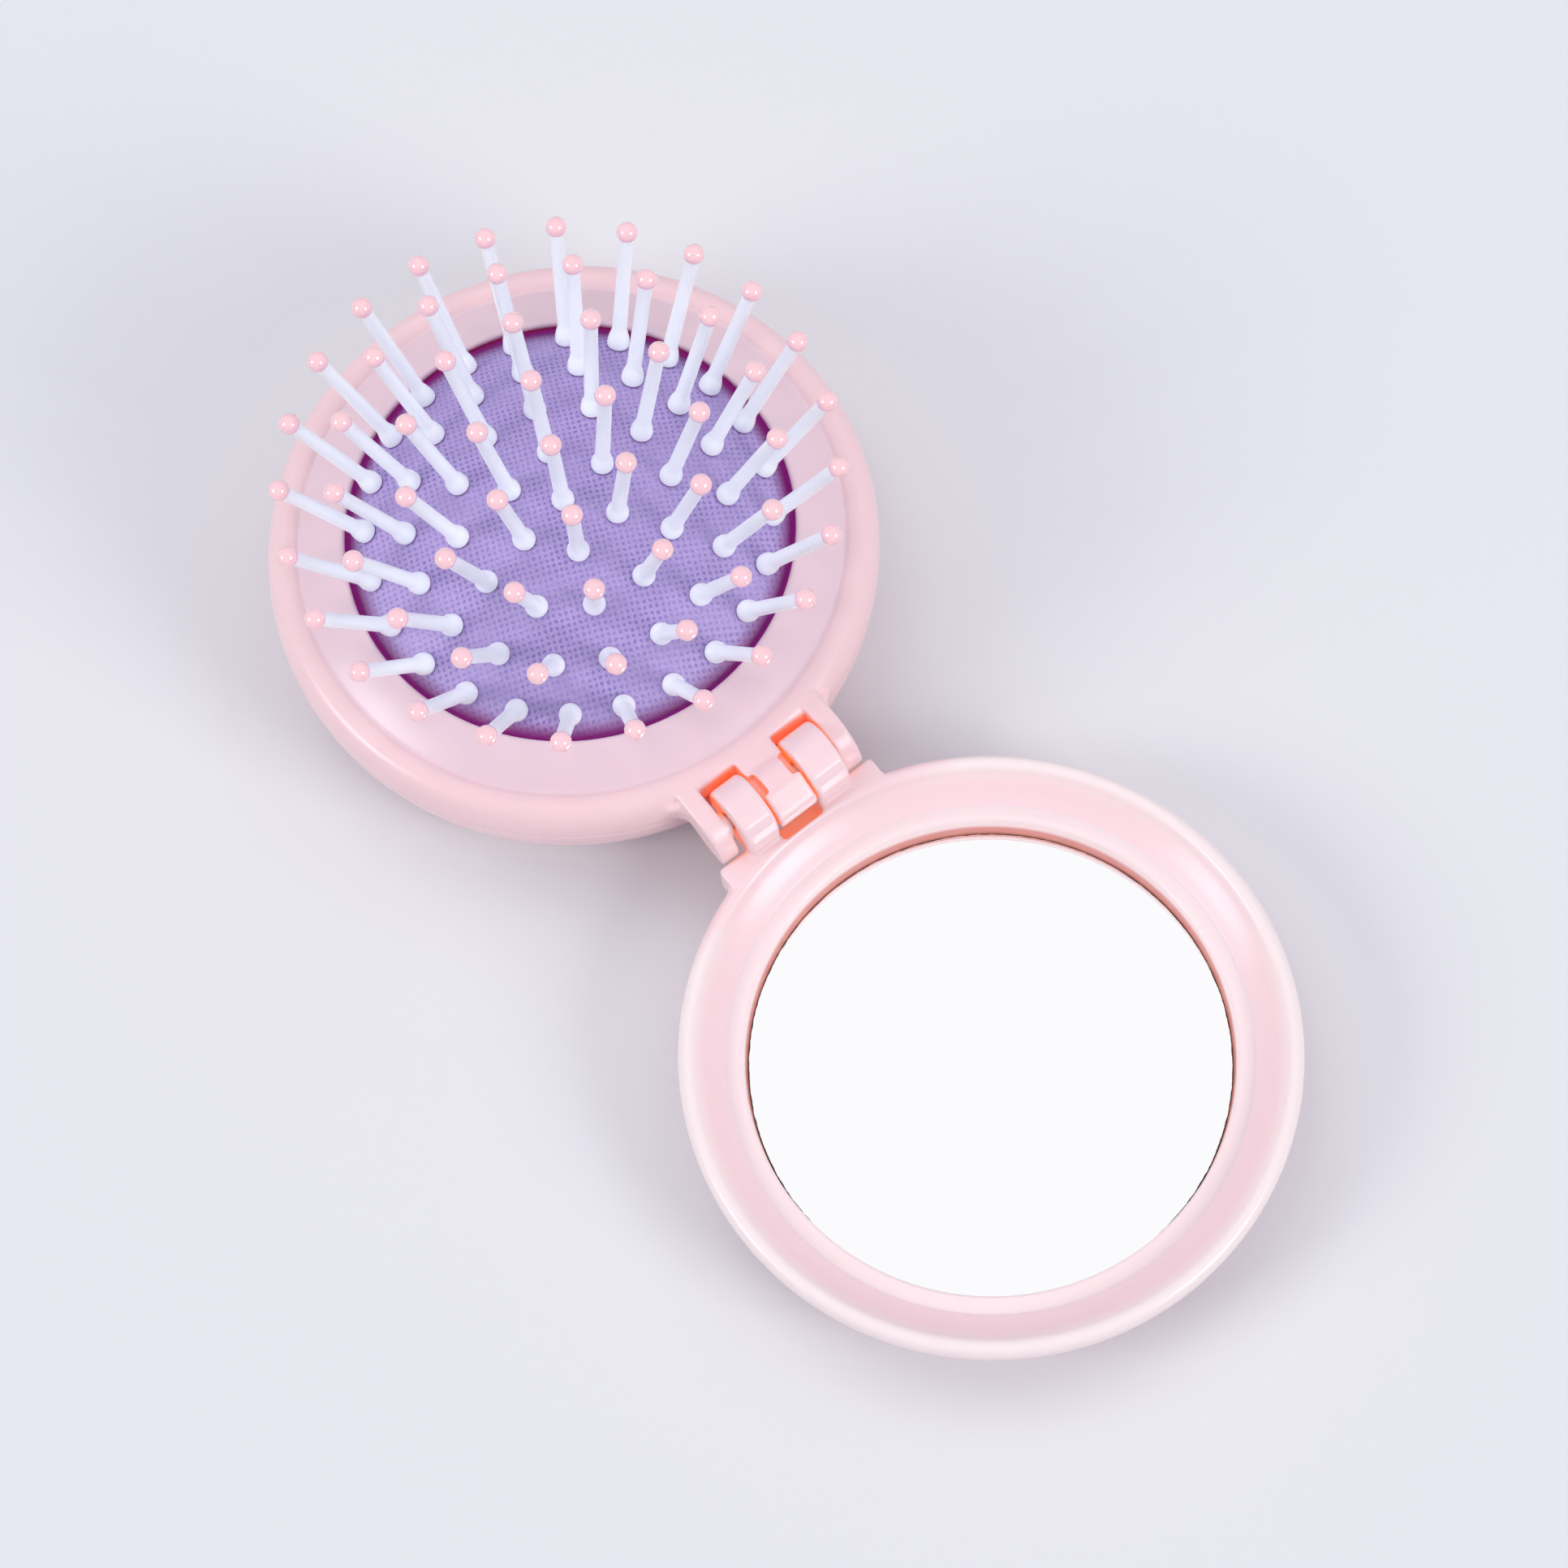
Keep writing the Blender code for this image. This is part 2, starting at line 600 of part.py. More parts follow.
def frame_arm_outline():
    """Side view of an outer arm: it leaves the frame's wall and ends round about the axis."""
    back = POCKET_X - HINGE_WALL / 2
    low = HINGE_WALL_FOOT + JOIN_STEP
    top = FRAME_CREST_RISE - JOIN_STEP
    points = arc((0.0, 0.0), (BARREL_RADIUS, BARREL_RADIUS), -90, 90, BARREL_STEPS)
    return points + [(-BARREL_RADIUS / 2, top), (back, top), (back, low), (-BARREL_RADIUS, low)]


def tongue_outline():
    """Side view of the middle tongue: frame, barrel and the claw that reaches past the axis."""
    back = POCKET_X - HINGE_WALL / 2
    low = HINGE_WALL_FOOT + JOIN_STEP
    top = FRAME_CREST_RISE - JOIN_STEP
    nose = BARREL_RADIUS / 2
    points = [(back, top), (back, low), (-BARREL_RADIUS, low)]
    points += arc((0.0, 0.0), (BARREL_RADIUS, BARREL_RADIUS), 240, 290, 3)
    points += arc((CLAW_REACH - nose, 0.0), (nose, nose), -70, 80, 5)
    points += arc((0.0, 0.0), (BARREL_RADIUS, BARREL_RADIUS), 60, 140, 4)
    return points


def knuckle_outline():
    """Side view of a lid knuckle: round towards the brush half, running down into the lid's rim."""
    crest = LID_CREST_Z - AXIS_HEIGHT
    foot = crest - HINGE_BLOCK_DEPTH
    back = KNUCKLE_ROOT_REACH + HINGE_BLOCK_LENGTH / 2
    points = [(back, crest), (KNUCKLE_ROOT_REACH, crest)]
    points += arc((0.0, 0.0), (BARREL_RADIUS, BARREL_RADIUS), 30, 270, BARREL_STEPS + 3)
    return points + [(KNUCKLE_ROOT_REACH, foot), (back, foot)]


def lid_block_outline():
    """Side view of the straight shoulder that the lid's rim has along the hinge."""
    top = LID_CREST_Z - AXIS_HEIGHT - JOIN_STEP
    foot = top - HINGE_BLOCK_DEPTH
    front = BARREL_RADIUS + RUN_GAP
    back = KNUCKLE_ROOT_REACH + HINGE_BLOCK_LENGTH
    return [(front, top - RUN_GAP), (front, foot), (back, foot), (back, top), (front + RUN_GAP, top)]


def make_front_frame(brush, hinge_in_brush, parts, cutters, plastic):
    """Front frame: the turned ring joined with the hinge's wall, arms and tongue, then the pockets cut."""
    frame = turned("brush_front_frame", front_frame_profile(), parts, plastic)
    half_wall = HINGE_HALF_WIDTH + JOIN_STEP
    wall_top = FRAME_CREST_RISE - FRAME_WALL + JOIN_STEP
    wall = box(
        "hinge_wall",
        (POCKET_X - HINGE_WALL, -half_wall, HINGE_WALL_FOOT),
        (POCKET_X, half_wall, wall_top),
        cutters,
    )
    joined = [wall, plate("hinge_tongue", tongue_outline(), 0.0, TONGUE_WIDTH + 2 * JOIN_STEP, cutters)]
    cut = []
    for side in (-1, 1):
        arm_y = side * (ARM_Y - JOIN_STEP / 2)
        joined.append(
            plate(f"frame_arm_{side}", frame_arm_outline(), arm_y, ARM_WIDTH + JOIN_STEP, cutters)
        )
        cut.append(
            box(
                f"knuckle_pocket_{side}",
                (POCKET_X, side * KNUCKLE_Y - HALF_POCKET, HINGE_WALL_FOOT - OVERRUN),
                (BARREL_RADIUS + OVERRUN, side * KNUCKLE_Y + HALF_POCKET, BARREL_RADIUS + OVERRUN),
                cutters,
            )
        )
        notch_y = side * (TONGUE_WIDTH / 2 - CLAW_NOTCH_DEPTH)
        past_y = side * (TONGUE_WIDTH / 2 + HINGE_SIDE_GAP)
        cut.append(
            box(
                f"claw_notch_{side}",
                (-CLAW_NOTCH_START, min(notch_y, past_y), -BARREL_RADIUS - OVERRUN),
                (CLAW_NOTCH_LENGTH - CLAW_NOTCH_START, max(notch_y, past_y), BARREL_RADIUS + OVERRUN),
                cutters,
            )
        )
    bore_low = -HINGE_HALF_WIDTH + HINGE_PIN_END_WALL
    bore_high = HINGE_HALF_WIDTH + OVERRUN
    cut.append(cylinder_along_y("frame_hinge_bore", BORE_RADIUS, bore_low, bore_high, BORE_SIDES, cutters))
    for piece in joined:
        combine(frame, "UNION", piece)
    for piece in cut:
        combine(frame, "DIFFERENCE", piece)
    for piece in joined + cut:
        place(piece, hinge_in_brush)
    place(frame, brush)


def make_back_shell(brush, hinge_in_brush, parts, cutters, plastic):
    """Back shell: a bowl whose lip is cut away behind the hinge wall."""
    shell = turned("brush_back_shell", back_shell_profile(), parts, plastic)
    low = SEAM_Z - AXIS_HEIGHT - RUN_GAP
    half = HINGE_HALF_WIDTH + RUN_GAP
    cut = box(
        "lip_cut",
        (POCKET_X - HINGE_WALL - RUN_GAP, -half, low),
        (BARREL_RADIUS, half, low + LIP_HEIGHT + OVERRUN),
        cutters,
    )
    combine(shell, "DIFFERENCE", cut)
    place(cut, hinge_in_brush)
    place(shell, brush)


def make_hinge_pin(hinge_in_brush, parts, steel):
    """The steel pin, pushed in from the +Y arm and stopped by the wall of the other."""
    low = -HINGE_HALF_WIDTH + HINGE_PIN_END_WALL + RUN_GAP
    high = HINGE_HALF_WIDTH - HINGE_PIN_RECESS
    pin = cylinder_along_y("hinge_pin", HINGE_PIN_RADIUS, low, high, BORE_SIDES, parts, steel)
    smooth(pin)
    place(pin, hinge_in_brush)


def lid_shell_profile():
    """Flat-backed dish with a rounded rim, a sloping channel and the seat for bezel and mirror."""
    crest_r = LID_RADIUS - LID_CREST_INSET
    side_radii = (LID_RADIUS - LID_BASE_RADIUS, LID_WIDEST_Z)
    rise = LID_CREST_Z - CREASE_Z
    points = [(0.0, LID_FLOOR), (SEAT_RADIUS, LID_FLOOR), (SEAT_RADIUS, CREASE_Z)]
    points += [(CREASE_RADIUS + CHANNEL_WIDTH * a, CREASE_Z + rise * b) for a, b in CHANNEL_SHARES]
    points += arc((crest_r, LID_WIDEST_Z), (LID_CREST_INSET, LID_WIDEST_DROP), 135, 0, 5)
    points += arc((LID_BASE_RADIUS, LID_WIDEST_Z), side_radii, 0, -90, 6)[1:]
    return points + [(0.0, 0.0)]


def bezel_profile():
    """Ring between channel and mirror: a rounded land, an inner lip and a steep inner wall."""
    lip_r = BEZEL_BORE + BEZEL_LIP_FLARE
    land_r = (lip_r + BEZEL_RADIUS) / 2
    half_land = (BEZEL_RADIUS - lip_r) / 2
    lip_z = CREASE_Z + BEZEL_RISE - BEZEL_LIP_DROP
    foot = LID_FLOOR + RUN_GAP
    points = [(BEZEL_BORE, MIRROR_TOP_Z), (lip_r, lip_z)]
    points += arc((land_r, CREASE_Z), (half_land, BEZEL_RISE), 150, 0, 4)
    points += [(BEZEL_RADIUS, foot), (BEZEL_BORE, foot)]
    return points


def disc(name, radius, low, high, parts, material):
    """A flat round piece."""
    profile = [(0.0, high), (radius, high), (radius, low), (0.0, low)]
    return turned(name, profile, parts, material, closed=False)


def make_lid(lid, hinge_in_lid, parts, cutters, plastic, glass, tape):
    """Lid shell with its two knuckles, the bezel ring, the mirror and the tape that holds it."""
    shell = turned("lid_shell", lid_shell_profile(), parts, plastic, closed=False)
    block = plate("lid_hinge_block", lid_block_outline(), 0.0, 2 * HINGE_HALF_WIDTH, cutters)
    knuckles = [
        plate(f"lid_knuckle_{side}", knuckle_outline(), side * KNUCKLE_Y, KNUCKLE_WIDTH, cutters)
        for side in (-1, 1)
    ]
    for piece in knuckles:
        combine(block, "UNION", piece)
        place(piece, hinge_in_lid)
    core_r = LID_RADIUS - LID_CREST_INSET - JOIN_STEP
    core_top = LID_CREST_Z + OVERRUN
    core_profile = [(0.0, core_top), (core_r, core_top), (core_r, -OVERRUN), (0.0, -OVERRUN)]
    core = turned("lid_core", core_profile, cutters, closed=False)
    combine(block, "DIFFERENCE", core)
    place(core, lid)
    half_slot = TONGUE_WIDTH / 2 + HINGE_SIDE_GAP
    slot = box(
        "tongue_slot",
        (-BARREL_RADIUS - JOIN_STEP, -half_slot, -AXIS_HEIGHT - OVERRUN),
        (CLAW_REACH + CLAW_GAP, half_slot, BARREL_RADIUS + OVERRUN),
        cutters,
    )
    bore = cylinder_along_y(
        "lid_hinge_bore", BORE_RADIUS, -HINGE_HALF_WIDTH, HINGE_HALF_WIDTH, BORE_SIDES, cutters
    )
    combine(shell, "UNION", block)
    combine(shell, "DIFFERENCE", slot)
    combine(shell, "DIFFERENCE", bore)
    for piece in (block, slot, bore):
        place(piece, hinge_in_lid)
    place(shell, lid)
    place(turned("mirror_bezel_ring", bezel_profile(), parts, plastic), lid)
    place(disc("mirror_glass", MIRROR_RADIUS, MIRROR_Z, MIRROR_TOP_Z, parts, glass), lid)
    tape_r = MIRROR_RADIUS - TAPE_INSET
    place(disc("mirror_tape", tape_r, TAPE_Z, TAPE_Z + TAPE_THICKNESS, parts, tape), lid)


def main():
    """Build the whole compact."""
    clear_scene()
    parts = new_collection(OBJECT_NAME)
    cutters = new_collection("cutters")
    cutters.hide_render = True

    pink = principled("pink_plastic", (0.87, 0.60, 0.66), 0.25)
    purple = principled("purple_rubber", (0.37, 0.27, 0.56), 0.6)
    nylon = principled("white_nylon", (0.78, 0.78, 0.84), 0.4)
    white = principled("inner_plastic", (0.80, 0.72, 0.75), 0.5)
    steel = principled("steel", (0.60, 0.60, 0.62), 0.3, 1.0)
    silvered = principled("silvered_glass", (0.90, 0.92, 0.93), 0.03, 1.0)
    tape = principled("foam_tape", (0.85, 0.85, 0.82), 0.9)

    brush = empty("brush_half", (BRUSH_X, 0.0, 0.0), parts)
    hinge = empty("lid_hinge_axis", (HINGE_X, 0.0, AXIS_HEIGHT), parts)
    lid = empty("lid_half", (LID_X - HINGE_X, 0.0, -AXIS_HEIGHT), parts, parent=hinge)
    hinge_in_brush = empty("hinge_in_brush", (HINGE_X - BRUSH_X, 0.0, AXIS_HEIGHT), parts, parent=brush)

    make_front_frame(brush, hinge_in_brush, parts, cutters, pink)
    make_back_shell(brush, hinge_in_brush, parts, cutters, pink)
    make_cushion(brush, parts, cutters, purple, white)
    make_hinge_pin(hinge_in_brush, parts, steel)
    make_lid(lid, hinge, parts, cutters, pink, silvered, tape)

    template = pin_template(cutters)
    template.shade_smooth()
    make_centre_pins(template, brush, parts, cutters, nylon)
    make_pin_pairs(template, brush, parts, cutters, nylon)
    for ring in (3, 4):
        make_single_pins(ring, template, brush, parts, nylon)


main()
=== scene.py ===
"""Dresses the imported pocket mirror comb: a round folding compact, open on a pale table.

The brush half holds a domed rubber cushion full of ball-tipped pins, and the lid holds a mirror in a
bezel. Each sub-assembly is a class that builds its meshes, dresses them and hands them to the CAD body
that they move with. Sizes are in millimetres, in the frame of the CAD, and are turned to metres where a
mesh is made.
"""

import logging
import math
from dataclasses import dataclass, field
from enum import Enum

import bmesh
import bpy
import numpy as np
from mathutils import Matrix, Vector


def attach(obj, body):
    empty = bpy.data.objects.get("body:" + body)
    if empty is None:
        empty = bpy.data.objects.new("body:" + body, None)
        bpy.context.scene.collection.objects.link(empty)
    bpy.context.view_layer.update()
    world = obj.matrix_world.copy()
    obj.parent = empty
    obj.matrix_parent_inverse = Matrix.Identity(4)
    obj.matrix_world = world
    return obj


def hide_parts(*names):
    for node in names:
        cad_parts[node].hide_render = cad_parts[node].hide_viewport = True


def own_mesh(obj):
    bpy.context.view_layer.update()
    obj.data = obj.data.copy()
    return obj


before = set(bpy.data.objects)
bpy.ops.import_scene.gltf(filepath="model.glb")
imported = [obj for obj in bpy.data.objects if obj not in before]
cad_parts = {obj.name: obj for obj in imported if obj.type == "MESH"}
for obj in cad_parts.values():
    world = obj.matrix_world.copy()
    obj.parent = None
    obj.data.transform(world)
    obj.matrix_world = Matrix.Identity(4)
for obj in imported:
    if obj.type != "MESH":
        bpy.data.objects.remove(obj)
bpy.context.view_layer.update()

MM = 0.001
log = logging.getLogger("pocket_mirror_comb")

Point = tuple[float, float]
Colour = tuple[float, float, float, float]


class Join(Enum):
    """What a Boolean does with its second mesh."""

    ADD = "UNION"
    CUT = "DIFFERENCE"


@dataclass(frozen=True)
class Layout:
    """Where the two halves lie, as the CAD has them."""

    brush_radius: float = 34.6
    lid_radius: float = 34.0
    brush_x: float = -37.13
    lid_x: float = 37.73
    hinge_x: float = 0.3
    hinge_z: float = 13.6
    frame_crest_z: float = 15.95
    lid_crest_z: float = 10.95
    clearance: float = 0.3


LAYOUT = Layout()


@dataclass
class HingeSizes:
    """Sizes that the two sides of the hinge share, measured from its axis."""

    barrel: float = 3.2
    knuckle_y: float = 4.95
    knuckle_width: float = 4.4
    tongue_width: float = 5.1
    arm_y: float = 8.65
    arm_width: float = 2.4
    side_gap: float = 0.14
    pocket_x: float = -4.35
    wall: float = 2.4
    wall_foot: float = -1.7
    claw_reach: float = 4.3
    slot_reach: float = 4.6
    slot_end: float = 4.75
    slot_floor: float = -4.1
    notch: Point = (-2.0, 1.1)
    notch_depth: float = 0.95
    root_reach: float = 4.05
    block_back: float = 7.65
    block_depth: float = 4.6
    bore: float = 1.15
    end_wall: float = 0.6
    edge_round: float = 0.3
    knuckle_barrel: float = 3.75
    arm_end: float = 2.85
    shoulder_front: float = 2.95
    notch_floor: float = 1.4
    boss: float = 1.55
    knuckle_trim: float = 0.45
    flare: float = 2.4

    @property
    def half_width(self) -> float:
        """Outer face of an arm."""
        return self.arm_y + self.arm_width / 2


HINGE = HingeSizes()


def linear(colour: str) -> Colour:
    """Turns an sRGB colour into the linear one that shaders take.

    Args:
        colour: Six hex digits, with or without a hash.

    Returns:
        Red, green, blue and an alpha of one, in linear light.
    """
    digits = colour.lstrip("#")
    shares = [int(digits[i : i + 2], 16) / 255 for i in (0, 2, 4)]
    light = [c / 12.92 if c <= 0.04045 else ((c + 0.055) / 1.055) ** 2.4 for c in shares]
    return (light[0], light[1], light[2], 1.0)


def add_node(
    tree: bpy.types.NodeTree,
    kind: str,
    inputs: dict | None = None,
    **settings: object,
) -> bpy.types.Node:
    """Adds one shader node with its settings and links.

    Args:
        tree: The node tree that gets the node.
        kind: The node's type, without the leading ShaderNode.
        inputs: Socket name or number to a value, or to the output socket that feeds it.
        **settings: Properties of the node itself.

    Returns:
        The new node.
    """
    node = tree.nodes.new("ShaderNode" + kind)
    for name, value in settings.items():
        setattr(node, name, value)
    for name, value in (inputs or {}).items():
        if isinstance(value, bpy.types.NodeSocket):
            tree.links.new(value, node.inputs[name])
        else:
            node.inputs[name].default_value = value
    return node


def mixed(
    tree: bpy.types.NodeTree, factor: object, first: object, second: object
) -> bpy.types.NodeSocket:
    """Mixes two colours.

    Args:
        tree: The node tree.
        factor: Share of the second, a number or a socket.
        first: A colour or a socket.
        second: A colour or a socket.

    Returns:
        The socket of the result.
    """
    return add_node(tree, "Mix", {"Factor": factor, 6: first, 7: second}, data_type="RGBA").outputs[2]


def ramp(
    tree: bpy.types.NodeTree, value: bpy.types.NodeSocket, start: float, end: float
) -> bpy.types.NodeSocket:
    """A smooth step from 0 to 1.

    Args:
        tree: The node tree.
        value: What is measured.
        start: Where the step is still 0.
        end: Where it has reached 1, which may be below the start.

    Returns:
        The socket of the result.
    """
    low, high = min(start, end), max(start, end)
    levels = {"To Min": 0.0, "To Max": 1.0} if end > start else {"To Min": 1.0, "To Max": 0.0}
    return add_node(
        tree,
        "MapRange",
        {"Value": value, "From Min": low, "From Max": high, **levels},
        interpolation_type="SMOOTHSTEP",
    ).outputs["Result"]


def reach_from(
    tree: bpy.types.NodeTree, place: bpy.types.NodeSocket, centre_x: float
) -> bpy.types.NodeSocket:
    """Distance from an upright axis, in metres.

    Args:
        tree: The node tree.
        place: The point.
        centre_x: Where the axis stands, in millimetres.

    Returns:
        The socket of the distance.
    """
    apart = add_node(tree, "VectorMath", {0: place, 1: (centre_x * MM, 0.0, 0.0)}, operation="SUBTRACT")
    flat = add_node(tree, "VectorMath", {0: apart.outputs[0], 1: (1.0, 1.0, 0.0)}, operation="MULTIPLY")
    return add_node(tree, "VectorMath", {0: flat.outputs[0]}, operation="LENGTH").outputs["Value"]


def new_material(name: str) -> tuple[bpy.types.Material, bpy.types.NodeTree]:
    """Makes an empty node material.

    Args:
        name: The material's name.

    Returns:
        The material and its node tree.
    """
    material = bpy.data.materials.new(name)
    material.use_nodes = True
    material.node_tree.nodes.clear()
    return material, material.node_tree


@dataclass(frozen=True)
class MouldedAbs:
    """Pale pink ABS, injection moulded in a polished tool.

    It shows a soft gloss, a little light from below its skin and faint flow clouds. Where ambient occlusion
    finds a narrow gap it gets painted light and shade: a painted peach fringe, a painted orange shade
    further in and a painted orange glow by emission. Round an upright axis it can take other painted tones:
    a ring of painted shade, a painted highlight band on a rim, and a lip where the painted gap tones turn
    pinkish.
    """

    name: str = "moulded_abs_pink"
    skin: str = "F6D6D8"
    cloud: str = "F3CED2"
    # Tones and glow painted into narrow gaps: painted light and shade, not colours of the plastic.
    painted_gap_fringe: str = "FFC8B0"
    painted_gap_depth: str = "FFB48C"
    painted_gap_glow: str = "FF8044"
    painted_gap_glow_strength: float = 0.26
    roughness: float = 0.28
    ior: float = 1.53
    painted_gap_reach: float = 2.6
    cloud_size: float = 18.0
    grain_size: float = 0.5
    subsurface: float = 0.15
    axis_x: float = 0.0
    # A ring of painted shade round the axis.
    shade_ring_radius: float = 0.0
    shade_ring_soft: float = 0.1
    shade_ring_tone: str = "DB857C"
    # A painted highlight band on a rim: from this radius out and from this height up.
    band: Point = (0.0, 0.0)
    painted_highlight_tone: str = "F6E8E6"
    # A lip where the painted gap tones turn pinkish magenta and no glow is painted.
    lip_radius: float = 0.0
    lip_shade_tone: str = "E2B2C8"
    painted_gap_until: float = 0.0  # no painted glow or painted gap shade further along X than this; 0 is everywhere
    fringe: Point = (0.5, 0.18)  # openness at which the painted peach fringe starts and is full
    depth: Point = (0.28, 0.04)  # the same for the painted orange shade and glow

    def build(self) -> bpy.types.Material:
        """Returns the finished material."""
        material, tree = new_material(self.name)
        place = add_node(tree, "TexCoord").outputs["Object"]
        clouds = add_node(
            tree, "TexNoise", {"Vector": place, "Scale": 1 / (self.cloud_size * MM), "Detail": 2.0}
        )
        colour = mixed(tree, clouds.outputs[0], linear(self.skin), linear(self.cloud))
        reach = reach_from(tree, place, self.axis_x)
        # Painted shade: inside the ring's radius the colour turns to the ring's tone.
        if self.shade_ring_radius:
            high, low = self.shade_ring_radius + self.shade_ring_soft, self.shade_ring_radius - self.shade_ring_soft
            colour = mixed(tree, ramp(tree, reach, high * MM, low * MM), colour, linear(self.shade_ring_tone))
        # Painted highlight: a paler band on the rim, away from the hinge.
        if self.band[1]:
            start, end = self.band  # from this radius outwards, and from this height up
            axes = add_node(tree, "SeparateXYZ", {"Vector": place}).outputs
            parts = [
                ramp(tree, reach, (start - 1.1) * MM, (start + 0.9) * MM),
                ramp(tree, axes["Z"], (end - 1.0) * MM, (end + 0.5) * MM),
                ramp(tree, axes["X"], 7 * MM, 11 * MM),
            ]
            first = add_node(tree, "Math", {0: parts[0], 1: parts[1]}, operation="MULTIPLY").outputs[0]
            pale = add_node(tree, "Math", {0: first, 1: parts[2]}, operation="MULTIPLY").outputs[0]
            colour = mixed(tree, pale, colour, linear(self.painted_highlight_tone))
        # Painted light and shade: where ambient occlusion finds a narrow gap, a peach fringe, an orange
        # tone further in and an orange glow by emission.
        openness = add_node(tree, "AmbientOcclusion", {"Distance": self.painted_gap_reach * MM}, samples=4)
        painted_fringe_share = ramp(tree, openness.outputs["AO"], *self.fringe)
        painted_depth_share = ramp(tree, openness.outputs["AO"], *self.depth)
        if self.painted_gap_until:
            along = add_node(tree, "SeparateXYZ", {"Vector": place}).outputs["X"]
            near = ramp(tree, along, (self.painted_gap_until + 1) * MM, self.painted_gap_until * MM)
            both = [
                add_node(tree, "Math", {0: share, 1: near}, operation="MULTIPLY").outputs[0]
                for share in (painted_fringe_share, painted_depth_share)
            ]
            painted_fringe_share, painted_depth_share = both
        edge, wall, painted_gap_glow_share = linear(self.painted_gap_fringe), linear(self.painted_gap_depth), painted_depth_share
        # Near the lip the painted gap tones turn pinkish magenta, and the painted glow stays far from it.
        if self.lip_radius:
            lip = ramp(tree, reach, (self.lip_radius + 0.4) * MM, (self.lip_radius - 0.4) * MM)
            edge = mixed(tree, lip, edge, linear(self.lip_shade_tone))
            wall = mixed(tree, lip, wall, linear(self.lip_shade_tone))
            away = ramp(tree, reach, (self.lip_radius + 4.5) * MM, (self.lip_radius + 5.5) * MM)
            painted_gap_glow_share = add_node(tree, "Math", {0: painted_depth_share, 1: away}, operation="MULTIPLY").outputs[0]
        colour = mixed(tree, painted_fringe_share, colour, edge)
        colour = mixed(tree, painted_depth_share, colour, wall)
        painted_gap_glow_share = add_node(tree, "Math", {0: painted_gap_glow_share, 1: self.painted_gap_glow_strength}, operation="MULTIPLY")
        grain = add_node(
            tree, "TexNoise", {"Vector": place, "Scale": 1 / (self.grain_size * MM), "Detail": 3.0}
        )
        bump = add_node(
            tree, "Bump", {"Strength": 0.05, "Distance": 0.01 * MM, "Height": grain.outputs[0]}
        )
        shader = add_node(
            tree,
            "BsdfPrincipled",
            {
                "Base Color": colour,
                "Roughness": self.roughness,
                "IOR": self.ior,
                "Subsurface Weight": self.subsurface,
                "Subsurface Radius": (1.0, 0.45, 0.38),
                "Subsurface Scale": 2.2 * MM,
                "Emission Color": linear(self.painted_gap_glow),
                "Emission Strength": painted_gap_glow_share.outputs[0],
                "Normal": bump.outputs["Normal"],
            },
        )
        add_node(tree, "OutputMaterial", {"Surface": shader.outputs["BSDF"]})
        return material


